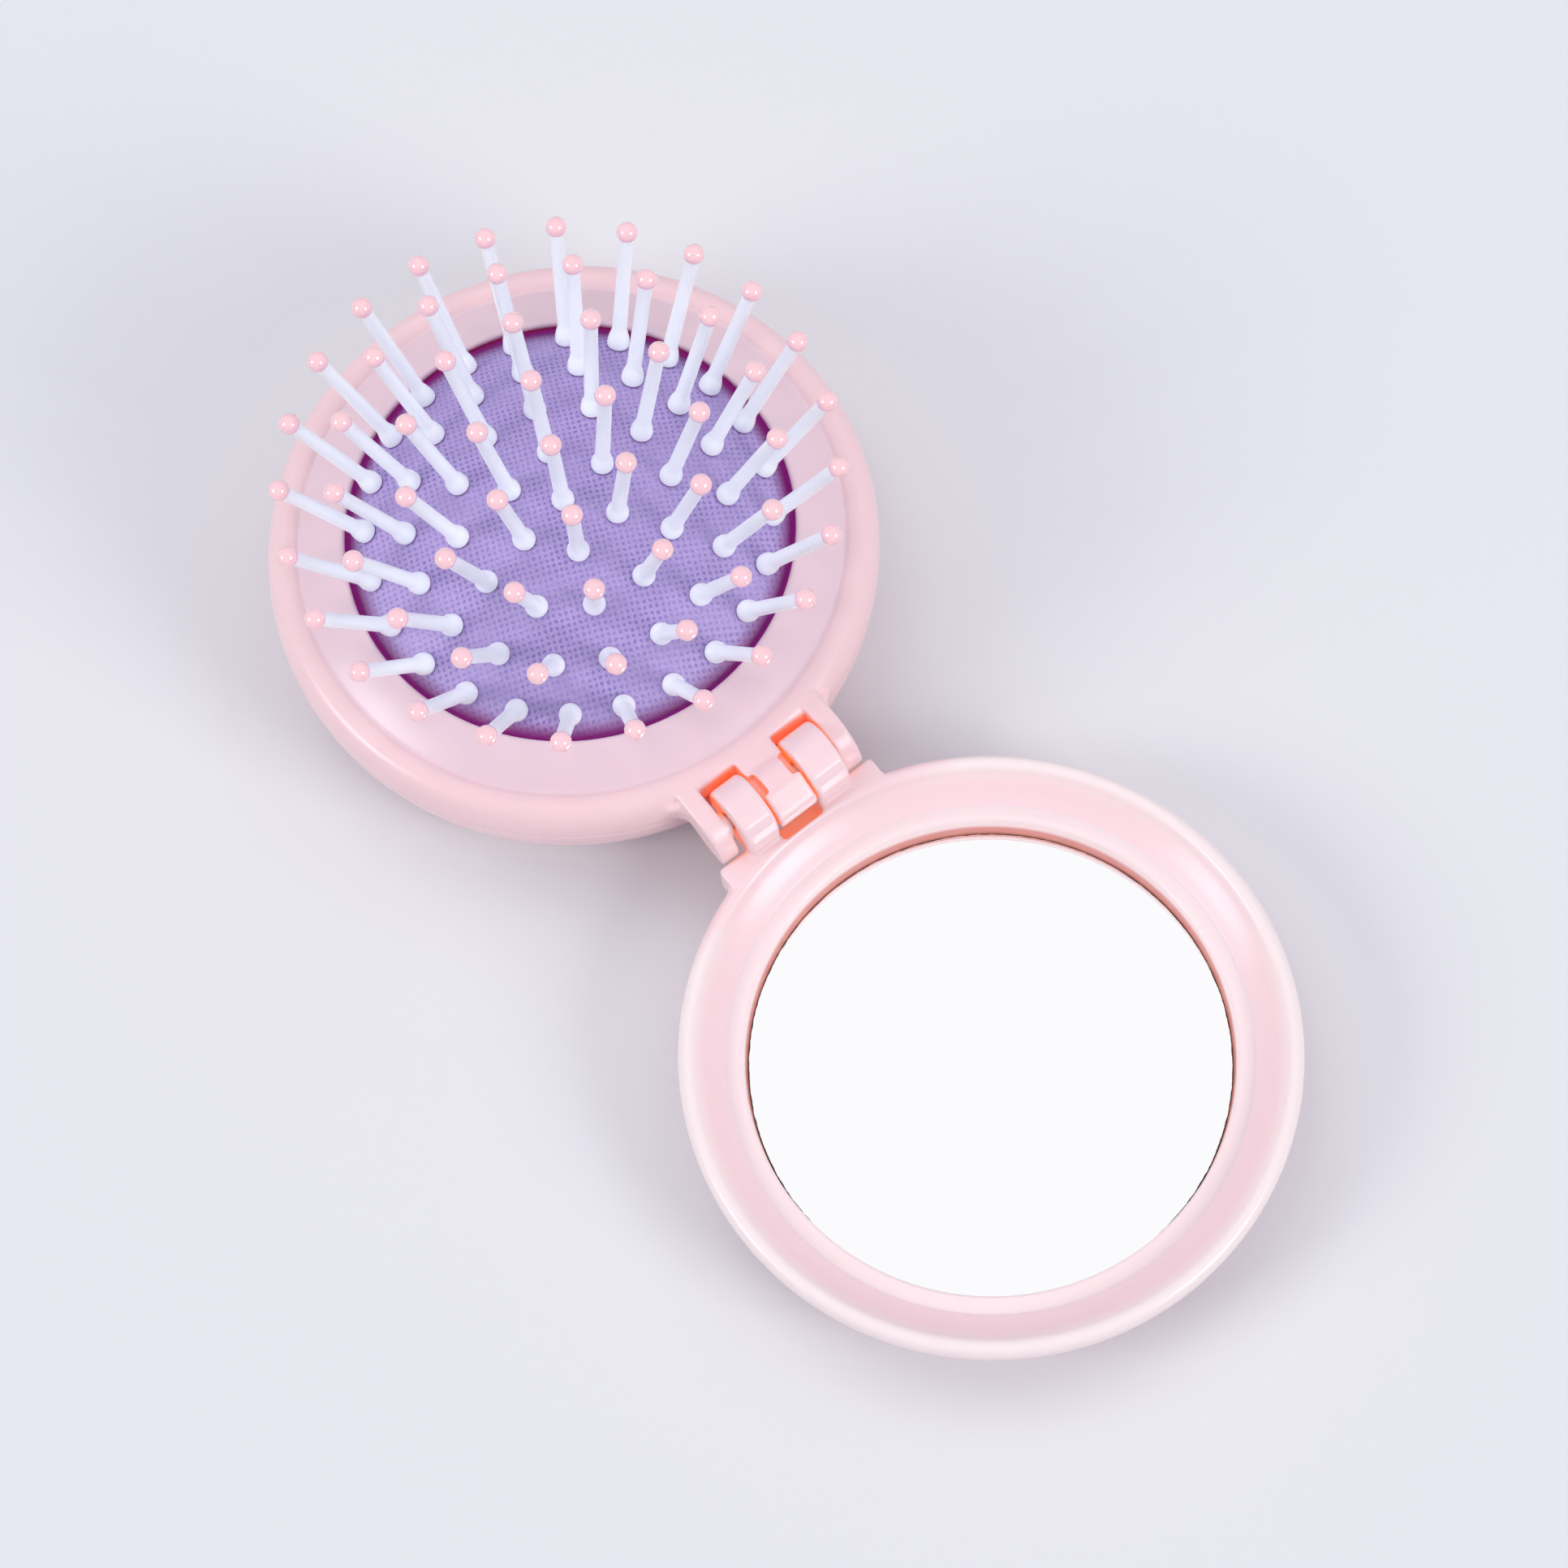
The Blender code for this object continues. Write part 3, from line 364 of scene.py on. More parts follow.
@dataclass(frozen=True)
class EmbossedRubber:
    """Lilac natural rubber, cast in a tool with a grid of fine pits.

    It is matt and slightly mottled, and each pit reads as a darker dot. It is painted magenta shade between
    the pins and where it dips under the pink frame, and a painted magenta glow by emission lights its outer
    edge.
    """

    name: str = "embossed_rubber_lilac"
    face: str = "B7A4D6"
    mottle: str = "AD98D0"
    pit: str = "8A76BC"
    shade: str = "7A1A70"
    painted_edge_glow: float = 0.6  # painted glow by emission at the outer edge, in the crevice under the frame
    # Radii over which the painted shade grows towards the frame's edge.
    painted_shade_start: float = 22.9
    painted_shade_end: float = 24.9
    roughness: float = 0.55
    pit_pitch: float = 0.66
    pit_turn: float = 66.0
    pit_depth: float = 0.06

    def build(self) -> bpy.types.Material:
        """Returns the finished material."""
        material, tree = new_material(self.name)
        place = add_node(tree, "TexCoord").outputs["Object"]
        wobble = add_node(tree, "TexNoise", {"Vector": place, "Scale": 1 / (0.9 * MM), "Detail": 1.0})
        shift = add_node(
            tree,
            "VectorMath",
            {0: wobble.outputs["Color"], 1: (0.5, 0.5, 0.5)},
            operation="SUBTRACT",
        )
        shift = add_node(
            tree, "VectorMath", {0: shift.outputs[0], "Scale": 0.35 * MM}, operation="SCALE"
        )
        uneven = add_node(tree, "VectorMath", {0: place, 1: shift.outputs[0]}, operation="ADD")
        turned = add_node(
            tree,
            "Mapping",
            {
                "Vector": uneven.outputs[0],
                "Rotation": (0.0, 0.0, -math.radians(self.pit_turn)),
                "Scale": (math.tau / (self.pit_pitch * MM),) * 3,
            },
        )
        axes = add_node(tree, "SeparateXYZ", {"Vector": turned.outputs["Vector"]})
        waves = [
            add_node(tree, "Math", {0: axes.outputs[k]}, operation="COSINE").outputs[0] for k in "XY"
        ]
        both = add_node(tree, "Math", {0: waves[0], 1: waves[1]}, operation="ADD")
        pits = ramp(tree, both.outputs[0], 0.25, 1.1)
        wear = add_node(tree, "TexNoise", {"Vector": place, "Scale": 1 / (5 * MM), "Detail": 4.0})
        strength = add_node(
            tree,
            "MapRange",
            {"Value": wear.outputs[0], "From Min": 0.35, "From Max": 0.65, "To Min": 0.4, "To Max": 1.0},
        )
        dots = add_node(tree, "Math", {0: pits, 1: strength.outputs["Result"]}, operation="MULTIPLY")
        fine = add_node(tree, "TexNoise", {"Vector": place, "Scale": 1 / (0.35 * MM), "Detail": 3.0})
        face = mixed(tree, ramp(tree, fine.outputs[0], 0.35, 0.65), linear(self.face), linear(self.mottle))
        face = mixed(tree, dots.outputs[0], face, linear(self.pit))
        # Painted shade: magenta where ambient occlusion is low, between the pins, and towards the frame's
        # edge.
        openness = add_node(tree, "AmbientOcclusion", {"Distance": 2.2 * MM}, samples=4)
        under = add_node(
            tree,
            "Math",
            {
                0: ramp(tree, openness.outputs["AO"], 0.5, 0.1),
                1: ramp(
                    tree,
                    reach_from(tree, place, LAYOUT.brush_x),
                    self.painted_shade_start * MM,
                    self.painted_shade_end * MM,
                ),
            },
            operation="MAXIMUM",
        )
        colour = mixed(tree, under.outputs[0], face, linear(self.shade))
        # Painted glow: emission in the shade colour at the outer edge.
        edge = ramp(
            tree,
            reach_from(tree, place, LAYOUT.brush_x),
            (self.painted_shade_end - 0.4) * MM,
            (self.painted_shade_end + 0.3) * MM,
        )
        glow = add_node(tree, "Math", {0: edge, 1: self.painted_edge_glow}, operation="MULTIPLY")
        bump = add_node(
            tree,
            "Bump",
            {"Strength": 0.5, "Distance": self.pit_depth * MM, "Height": dots.outputs[0]},
            invert=True,
        )
        shader = add_node(
            tree,
            "BsdfPrincipled",
            {
                "Base Color": colour,
                "Emission Color": linear(self.shade),
                "Emission Strength": glow.outputs[0],
                "Roughness": self.roughness,
                "IOR": 1.52,
                "Subsurface Weight": 0.08,
                "Subsurface Radius": (1.0, 0.6, 1.0),
                "Subsurface Scale": 0.8 * MM,
                "Normal": bump.outputs["Normal"],
            },
        )
        add_node(tree, "OutputMaterial", {"Surface": shader.outputs["BSDF"]})
        return material


@dataclass(frozen=True)
class PlainFinish:
    """A moulded, dipped or ground finish whose colour drifts a little and whose skin is slightly uneven."""

    name: str
    low: str
    high: str
    roughness: float
    ior: float = 1.5
    metallic: float = 0.0
    patch_size: float = 4.0
    grain_size: float = 0.3
    grain_height: float = 0.01
    stretch: tuple[float, float, float] = (1.0, 1.0, 1.0)
    subsurface: float = 0.0
    subsurface_reach: float = 1.0
    coat: float = 0.0
    painted_glow: float = 0.0  # painted glow by emission, in the high colour, as a share of white

    def build(self) -> bpy.types.Material:
        """Returns the finished material."""
        material, tree = new_material(self.name)
        place = add_node(tree, "TexCoord").outputs["Object"]
        drawn = add_node(tree, "Mapping", {"Vector": place, "Scale": self.stretch}).outputs["Vector"]
        patches = add_node(
            tree, "TexNoise", {"Vector": drawn, "Scale": 1 / (self.patch_size * MM), "Detail": 2.0}
        )
        colour = add_node(
            tree,
            "Mix",
            {"Factor": patches.outputs[0], 6: linear(self.low), 7: linear(self.high)},
            data_type="RGBA",
        )
        grain = add_node(
            tree, "TexNoise", {"Vector": drawn, "Scale": 1 / (self.grain_size * MM), "Detail": 2.0}
        )
        bump = add_node(
            tree,
            "Bump",
            {"Strength": 0.2, "Distance": self.grain_height * MM, "Height": grain.outputs[0]},
        )
        rough = add_node(
            tree,
            "MapRange",
            {
                "Value": patches.outputs[0],
                "To Min": self.roughness * 0.85,
                "To Max": self.roughness * 1.15,
            },
        )
        inputs = {
            "Base Color": colour.outputs[2],
            "Roughness": rough.outputs["Result"],
            "Metallic": self.metallic,
            "Subsurface Weight": self.subsurface,
            "Subsurface Radius": (1.0, 0.9, 1.0),
            "Subsurface Scale": self.subsurface_reach * MM,
            "Coat Weight": self.coat,
            # Painted glow: emission that lifts the finish, though it is no lamp.
            "Emission Color": linear(self.high),
            "Emission Strength": self.painted_glow,
            "Normal": bump.outputs["Normal"],
        }
        if not self.metallic:
            inputs["IOR"] = self.ior
        shader = add_node(tree, "BsdfPrincipled", inputs)
        add_node(tree, "OutputMaterial", {"Surface": shader.outputs["BSDF"]})
        return material


@dataclass(frozen=True)
class SilveredGlass:
    """Float glass silvered on its back and cut round, so its edge is grey and nibbled."""

    name: str = "silvered_glass"
    silver: str = "FDFDFE"
    edge: str = "5F6670"
    radius: float = 26.56
    edge_width: float = 0.08
    nibble_size: float = 0.9

    def build(self) -> bpy.types.Material:
        """Returns the finished material."""
        material, tree = new_material(self.name)
        place = add_node(tree, "TexCoord").outputs["Object"]
        centre = add_node(
            tree,
            "VectorMath",
            {0: place, 1: (LAYOUT.lid_x * MM, 0.0, 0.0)},
            operation="SUBTRACT",
        )
        flat = add_node(
            tree, "VectorMath", {0: centre.outputs[0], 1: (1.0, 1.0, 0.0)}, operation="MULTIPLY"
        )
        reach = add_node(tree, "VectorMath", {0: flat.outputs[0]}, operation="LENGTH")
        nibbles = add_node(
            tree, "TexNoise", {"Vector": place, "Scale": 1 / (self.nibble_size * MM), "Detail": 3.0}
        )
        wander = add_node(
            tree,
            "MapRange",
            {
                "Value": nibbles.outputs[0],
                "From Min": 0.35,
                "From Max": 0.65,
                "To Min": 0.0,
                "To Max": self.edge_width * MM,
            },
        )
        far = add_node(
            tree, "Math", {0: reach.outputs["Value"], 1: wander.outputs["Result"]}, operation="ADD"
        )
        mask = add_node(
            tree,
            "Math",
            {0: far.outputs[0], 1: (self.radius - self.edge_width) * MM},
            operation="GREATER_THAN",
        )
        colour = add_node(
            tree,
            "Mix",
            {"Factor": mask.outputs[0], 6: linear(self.silver), 7: linear(self.edge)},
            data_type="RGBA",
        )
        rough = add_node(tree, "MapRange", {"Value": mask.outputs[0], "To Min": 0.015, "To Max": 0.4})
        shader = add_node(
            tree,
            "BsdfPrincipled",
            {
                "Base Color": colour.outputs[2],
                "Metallic": 1.0,
                "Roughness": rough.outputs["Result"],
            },
        )
        add_node(tree, "OutputMaterial", {"Surface": shader.outputs["BSDF"]})
        return material


class Finishes:
    """All the materials of the comb, each built once."""

    def __init__(self) -> None:
        """Builds them."""
        # The back shell is thick and closed, so it gets no painted glow: its gaps get only a painted dusky
        # rose shade.
        self.shell = MouldedAbs(
            "moulded_abs_shell", painted_gap_fringe="EFBFCB", painted_gap_depth="C983A6", painted_gap_glow_strength=0.0
        ).build()
        # Inside radius 30.9 the frame's sloping ring is painted a little greyer and cooler: painted shade
        # from the pins and painted light reflected from the cushion. At the hole's lip the painted gap
        # shade turns pinkish magenta.
        self.frame = MouldedAbs(
            "moulded_abs_frame",
            axis_x=LAYOUT.brush_x,
            shade_ring_radius=30.9,
            shade_ring_soft=0.5,
            shade_ring_tone="EACED6",
            lip_radius=26.0,
        ).build()
        # The lid's rim is thin and catches light from both sides; that light is painted on as a highlight
        # band, paler than the channel.
        self.lid = MouldedAbs(
            "moulded_abs_lid",
            # Painted light: skin and clouds are written paler than the frame's, because the lid stands in
            # more light.
            "F6DBDD",
            "F4D5D9",
            painted_gap_reach=5.0,
            axis_x=LAYOUT.lid_x,
            band=(31.9, 9.0),
            painted_gap_until=6.0,
            fringe=(0.6, 0.3),
            depth=(0.44, 0.1),
            painted_gap_glow_strength=0.4,
        ).build()
        # Inside radius 26.8 the bezel's inner wall is painted salmon: painted shade on that wall and
        # painted light passed through its thin lip.
        self.bezel = MouldedAbs(
            "moulded_abs_bezel",
            "F9E5E5",
            "F7E0E1",
            axis_x=LAYOUT.lid_x,
            shade_ring_radius=26.8,
            shade_ring_soft=0.06,
        ).build()
        self.rubber = EmbossedRubber().build()
        # Nylon 6, moulded thin: milky, satin, light soaks in; a painted glow by emission lifts the pins.
        self.nylon = PlainFinish(
            "moulded_nylon", "F2F8FC", "F6FCFF", 0.34, 1.53, subsurface=0.3, painted_glow=0.09
        ).build()
        # Epoxy bead, dipped on the end of the pin: a clear pink gloss.
        self.bead = PlainFinish(
            "dipped_epoxy", "FFCBD0", "FFD2D6", 0.12, 1.55, subsurface=0.15, subsurface_reach=0.5, coat=1.0
        ).build()
        self.mirror = SilveredGlass().build()
        # ABS again, as moulded, in the inner ring that nobody sees.
        self.inner = PlainFinish("moulded_abs_inner", "E9DADF", "EFE2E6", 0.45, 1.53).build()
        # Silver steel, centreless ground: fine rings round the pin.
        self.steel = PlainFinish(
            "ground_steel",
            "B9BABD",
            "CACBCD",
            0.28,
            metallic=1.0,
            patch_size=2.0,
            grain_size=0.12,
            stretch=(1.0, 8.0, 1.0),
        ).build()
        # Closed-cell foam: dull white, with cells of about 0.2 mm at the cut edge.
        self.foam = PlainFinish(
            "foam_tape", "E2E2DC", "ECECE7", 0.9, grain_size=0.2, grain_height=0.05
        ).build()


def arc(centre: Point, radii: Point, start: float, end: float, steps: int) -> list[Point]:
    """Points along part of an ellipse.

    Args:
        centre: Its middle.
        radii: Its two half axes.
        start: First angle in degrees.
        end: Last angle in degrees.
        steps: Number of pieces.

    Returns:
        The points, both ends included.
    """
    angles = [math.radians(start + (end - start) * i / steps) for i in range(steps + 1)]
    return [(centre[0] + radii[0] * math.cos(a), centre[1] + radii[1] * math.sin(a)) for a in angles]


def softened(profile: list[Point], closed: bool, radius: float = 0.25, steps: int = 3) -> list[Point]:
    """Rounds a profile's sharp corners.

    Args:
        profile: The corners, in order.
        closed: Whether the last joins the first.
        radius: How far from a corner the rounding starts, at most.
        steps: Pieces in each rounding.

    Returns:
        The profile with each sharp corner replaced by a short curve.
    """
    out: list[Point] = []
    count = len(profile)
    for i, corner in enumerate(profile):
        if not closed and i in (0, count - 1):
            out.append(corner)
            continue
        here = Vector(corner)
        before = Vector(profile[i - 1]) - here
        after = Vector(profile[(i + 1) % count]) - here
        turn = math.pi - before.angle(after)
        if turn < math.radians(25):
            out.append(corner)
            continue
        reach = min(radius, before.length * 0.4, after.length * 0.4)
        first = here + before.normalized() * reach
        last = here + after.normalized() * reach
        for k in range(steps + 1):
            t = k / steps
            spot = first.lerp(here, t).lerp(here.lerp(last, t), t)
            out.append((spot.x, spot.y))
    return out


def mesh_from(points: list[Vector], faces: list[tuple[int, ...]], name: str) -> bpy.types.Mesh:
    """A mesh with its faces turned outwards.

    Args:
        points: Corners in millimetres.
        faces: Corner numbers of each face.
        name: The mesh's name.

    Returns:
        The mesh, in metres.
    """
    mesh = bpy.data.meshes.new(name)
    mesh.from_pydata([tuple(p * MM for p in point) for point in points], [], faces)
    shape = bmesh.new()
    shape.from_mesh(mesh)
    bmesh.ops.recalc_face_normals(shape, faces=shape.faces)
    shape.to_mesh(mesh)
    shape.free()
    mesh.shade_smooth()
    return mesh


def lathe(
    profile: list[Point], name: str, steps: int = 192, closed: bool = True, centre_x: float = 0.0
) -> bpy.types.Mesh:
    """Turns a profile about an upright axis.

    Args:
        profile: Radius and height of each corner. An open one starts and ends on the axis.
        name: The mesh's name.
        steps: Divisions of the full turn.
        closed: Whether the last corner joins the first.
        centre_x: Where the axis stands.

    Returns:
        The mesh.
    """
    points: list[tuple[float, float, float]] = []
    rows: list[list[int]] = []
    for radius, height in profile:
        if radius < 1e-6:
            rows.append([len(points)] * steps)
            points.append((centre_x, 0.0, height))
            continue
        rows.append(list(range(len(points), len(points) + steps)))
        for i in range(steps):
            a = math.tau * i / steps
            points.append((centre_x + radius * math.cos(a), radius * math.sin(a), height))
    faces = []
    pairs = list(zip(rows, rows[1:])) + ([(rows[-1], rows[0])] if closed else [])
    for upper, lower in pairs:
        for i in range(steps):
            j = (i + 1) % steps
            corners = list(dict.fromkeys((upper[i], upper[j], lower[j], lower[i])))
            if len(corners) > 2:
                faces.append(tuple(corners))
    return mesh_from(points, faces, name)


def rounded_rims(mesh: bpy.types.Mesh, axis: int, bevel: float) -> bpy.types.Mesh:
    """Rounds the edges of an extrusion's two ends.

    Args:
        mesh: The extrusion.
        axis: The direction that it was extruded in, 0 to 2.
        bevel: Size of the rounding, or 0 for none.

    Returns:
        The same mesh.
    """
    if bevel:
        shape = bmesh.new()
        shape.from_mesh(mesh)
        rims = [e for e in shape.edges if abs(e.verts[0].co[axis] - e.verts[1].co[axis]) < 1e-7]
        bmesh.ops.bevel(
            shape,
            geom=rims,
            offset=bevel * MM,
            segments=3,
            profile=0.5,
            affect="EDGES",
            clamp_overlap=True,
        )
        shape.to_mesh(mesh)
        shape.free()
    return mesh


def prism(outline: list[Point], middle_y: float, width: float, bevel: float = 0.0) -> bpy.types.Mesh:
    """A side view about the hinge axis, given a width along Y.

    Args:
        outline: X and Z of each corner, from the hinge axis.
        middle_y: Middle of the width.
        width: Size along Y.
        bevel: Rounding of the two rims.

    Returns:
        The mesh, in place.
    """
    count = len(outline)
    points = [
        (LAYOUT.hinge_x + x, middle_y + side * width / 2, LAYOUT.hinge_z + z)
        for side in (-1, 1)
        for x, z in outline
    ]
    faces = [tuple(range(count)), tuple(range(count, 2 * count))]
    faces += [(i, (i + 1) % count, (i + 1) % count + count, i + count) for i in range(count)]
    return rounded_rims(mesh_from(points, faces, "prism"), 1, bevel)


def slab(plan: list[Point], low: float, high: float, bevel: float = 0.0) -> bpy.types.Mesh:
    """A plan view about the hinge axis, given a height.

    Args:
        plan: X and Y of each corner, from the hinge axis.
        low: Its underside, from the axis.
        high: Its top.
        bevel: Rounding of the two rims.

    Returns:
        The mesh, in place.
    """
    count = len(plan)
    points = [(LAYOUT.hinge_x + x, y, LAYOUT.hinge_z + z) for z in (low, high) for x, y in plan]
    faces = [tuple(range(count)), tuple(range(count, 2 * count))]
    faces += [(i, (i + 1) % count, (i + 1) % count + count, i + count) for i in range(count)]
    return rounded_rims(mesh_from(points, faces, "slab"), 2, bevel)


def flare(
    facing: int,
    centre_x: float,
    ring: float,
    side: int,
    high: float,
    low: float,
    half: float = HINGE.half_width,
    radius: float = HINGE.flare,
) -> bpy.types.Mesh:
    """The hollow curve, in plan, where the hinge runs out into a round rim.

    Args:
        facing: -1 for the brush half, 1 for the lid.
        centre_x: Middle of the rim.
        ring: Radius of the rim.
        side: -1 or 1, the end of the hinge.
        high: Its top, from the hinge axis.
        low: Its underside.
        half: Half the width of the hinge there.
        radius: Radius of the curve.

    Returns:
        The mesh.
    """
    middle = centre_x - LAYOUT.hinge_x
    hollow = Vector((0.0, half + radius))
    hollow.x = middle - facing * math.sqrt((ring + radius) ** 2 - hollow.y**2)
    toward = (Vector((middle, 0.0)) - hollow).normalized()
    end = math.degrees(math.atan2(toward.y, toward.x))
    plan = arc((hollow.x, hollow.y), (radius, radius), -90, end, 8)
    inner = Vector(plan[-1]) + toward * 1.5
    plan += [(inner.x, inner.y), (inner.x, half - 1.5), (plan[0][0], half - 1.5)]
    return slab([(x, side * y) for x, y in plan], low, high, HINGE.edge_round)


def block(low: tuple[float, float, float], high: tuple[float, float, float]) -> bpy.types.Mesh:
    """A cutter between two corners, measured from the hinge axis.

    Args:
        low: Its lowest X, Y and Z.
        high: Its highest.

    Returns:
        The mesh.
    """
    outline = [(low[0], low[2]), (high[0], low[2]), (high[0], high[2]), (low[0], high[2])]
    return prism(outline, (low[1] + high[1]) / 2, high[1] - low[1])


def rod(radius: float, low_y: float, high_y: float) -> bpy.types.Mesh:
    """A cutter along the hinge axis.

    Args:
        radius: Its radius.
        low_y: Where it starts.
        high_y: Where it ends.

    Returns:
        The mesh.
    """
    return prism(arc((0, 0), (radius, radius), 0, 345, 23), (low_y + high_y) / 2, high_y - low_y)


def piece_of(mesh: bpy.types.Mesh, name: str) -> bpy.types.Object:
    """Puts a mesh in the scene.

    Args:
        mesh: The mesh, in place.
        name: The object's name.

    Returns:
        The object.
    """
    obj = bpy.data.objects.new(name, mesh)
    bpy.context.scene.collection.objects.link(obj)
    return obj


def applied(obj: bpy.types.Object) -> bpy.types.Object:
    """Replaces the object's mesh by what its modifiers make of it.

    Args:
        obj: The object.

    Returns:
        The same object, with no modifier left.
    """
    bpy.context.view_layer.update()
    graph = bpy.context.evaluated_depsgraph_get()
    mesh = bpy.data.meshes.new_from_object(obj.evaluated_get(graph))
    obj.modifiers.clear()
    obj.data = mesh
    return obj


def combined(obj: bpy.types.Object, how: Join, meshes: list[bpy.types.Mesh]) -> bpy.types.Object:
    """Adds meshes to an object, or cuts them out of it.

    Args:
        obj: The object that changes.
        how: Add or cut.
        meshes: What is added or cut.

    Returns:
        The same object.
    """
    for mesh in meshes:
        helper = piece_of(mesh, "helper")
        modifier = obj.modifiers.new("boolean", "BOOLEAN")
        modifier.operation = how.value
        modifier.solver = "EXACT"
        modifier.object = helper
        applied(obj)
        bpy.data.objects.remove(helper, do_unlink=True)
    return obj


def cut_mesh(solid: bpy.types.Mesh, cutter: bpy.types.Mesh) -> bpy.types.Mesh:
    """Cuts one mesh out of another.

    Args:
        solid: What is cut.
        cutter: What is cut away.

    Returns:
        The rest.
    """
    part = combined(piece_of(solid, "part"), Join.CUT, [cutter])
    rest = part.data
    bpy.data.objects.remove(part, do_unlink=True)
    return rest


def fused(
    name: str,
    solids: list[bpy.types.Mesh],
    cutters: list[bpy.types.Mesh],
    voxel: float,
    passes: int,
    spared: list[bpy.types.Mesh] | None = None,
) -> bpy.types.Object:
    """Cuts each solid, then runs one fine skin over them all, so that every edge gets a moulded radius.

    Args:
        name: The new piece's name.
        solids: Overlapping closed meshes.
        cutters: What is cut out of each of them.
        voxel: Size of a cell of the skin.
        passes: How often the skin is smoothed.
        spared: More solids, which are not cut.

    Returns:
        The piece.
    """
    heap = bmesh.new()
    for solid in solids:
        part = combined(piece_of(solid, "part"), Join.CUT, cutters)
        heap.from_mesh(part.data)
        bpy.data.objects.remove(part, do_unlink=True)
    for solid in spared or []:
        heap.from_mesh(solid)
    mesh = bpy.data.meshes.new(name)
    heap.to_mesh(mesh)
    heap.free()
    obj = piece_of(mesh, name)
    skin = obj.modifiers.new("skin", "REMESH")
    skin.mode = "VOXEL"
    skin.voxel_size = voxel * MM
    skin.use_smooth_shade = True
    soft = obj.modifiers.new("soft", "SMOOTH")
    soft.factor = 0.5
    soft.iterations = passes
    return applied(obj)


def dress(obj: bpy.types.Object, *materials: bpy.types.Material) -> None:
    """Gives an object its finishes.

    Args:
        obj: The object.
        *materials: One for each of its slots, in order.
    """
    for material in materials:
        obj.data.materials.append(material)


def hand_over(obj: bpy.types.Object, body: str, node: str) -> None:
    """Lets a piece stand for a CAD node and move with its body.

    Args:
        obj: The piece.
        body: The CAD body.
        node: The node that it replaces.
    """
    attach(obj, body)
    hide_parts(node)
    log.info("%s: %d faces, on %s, for %s", obj.name, len(obj.data.polygons), body, node)


def dress_node(name: str, material: bpy.types.Material) -> None:
    """Gives a CAD node that stays its finish.

    Args:
        name: The node.
        material: Its finish.
    """
    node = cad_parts[name]
    for holder in node.material_slots:
        holder.material = material
    log.info("%s: kept as it is, in %s", name, material.name)


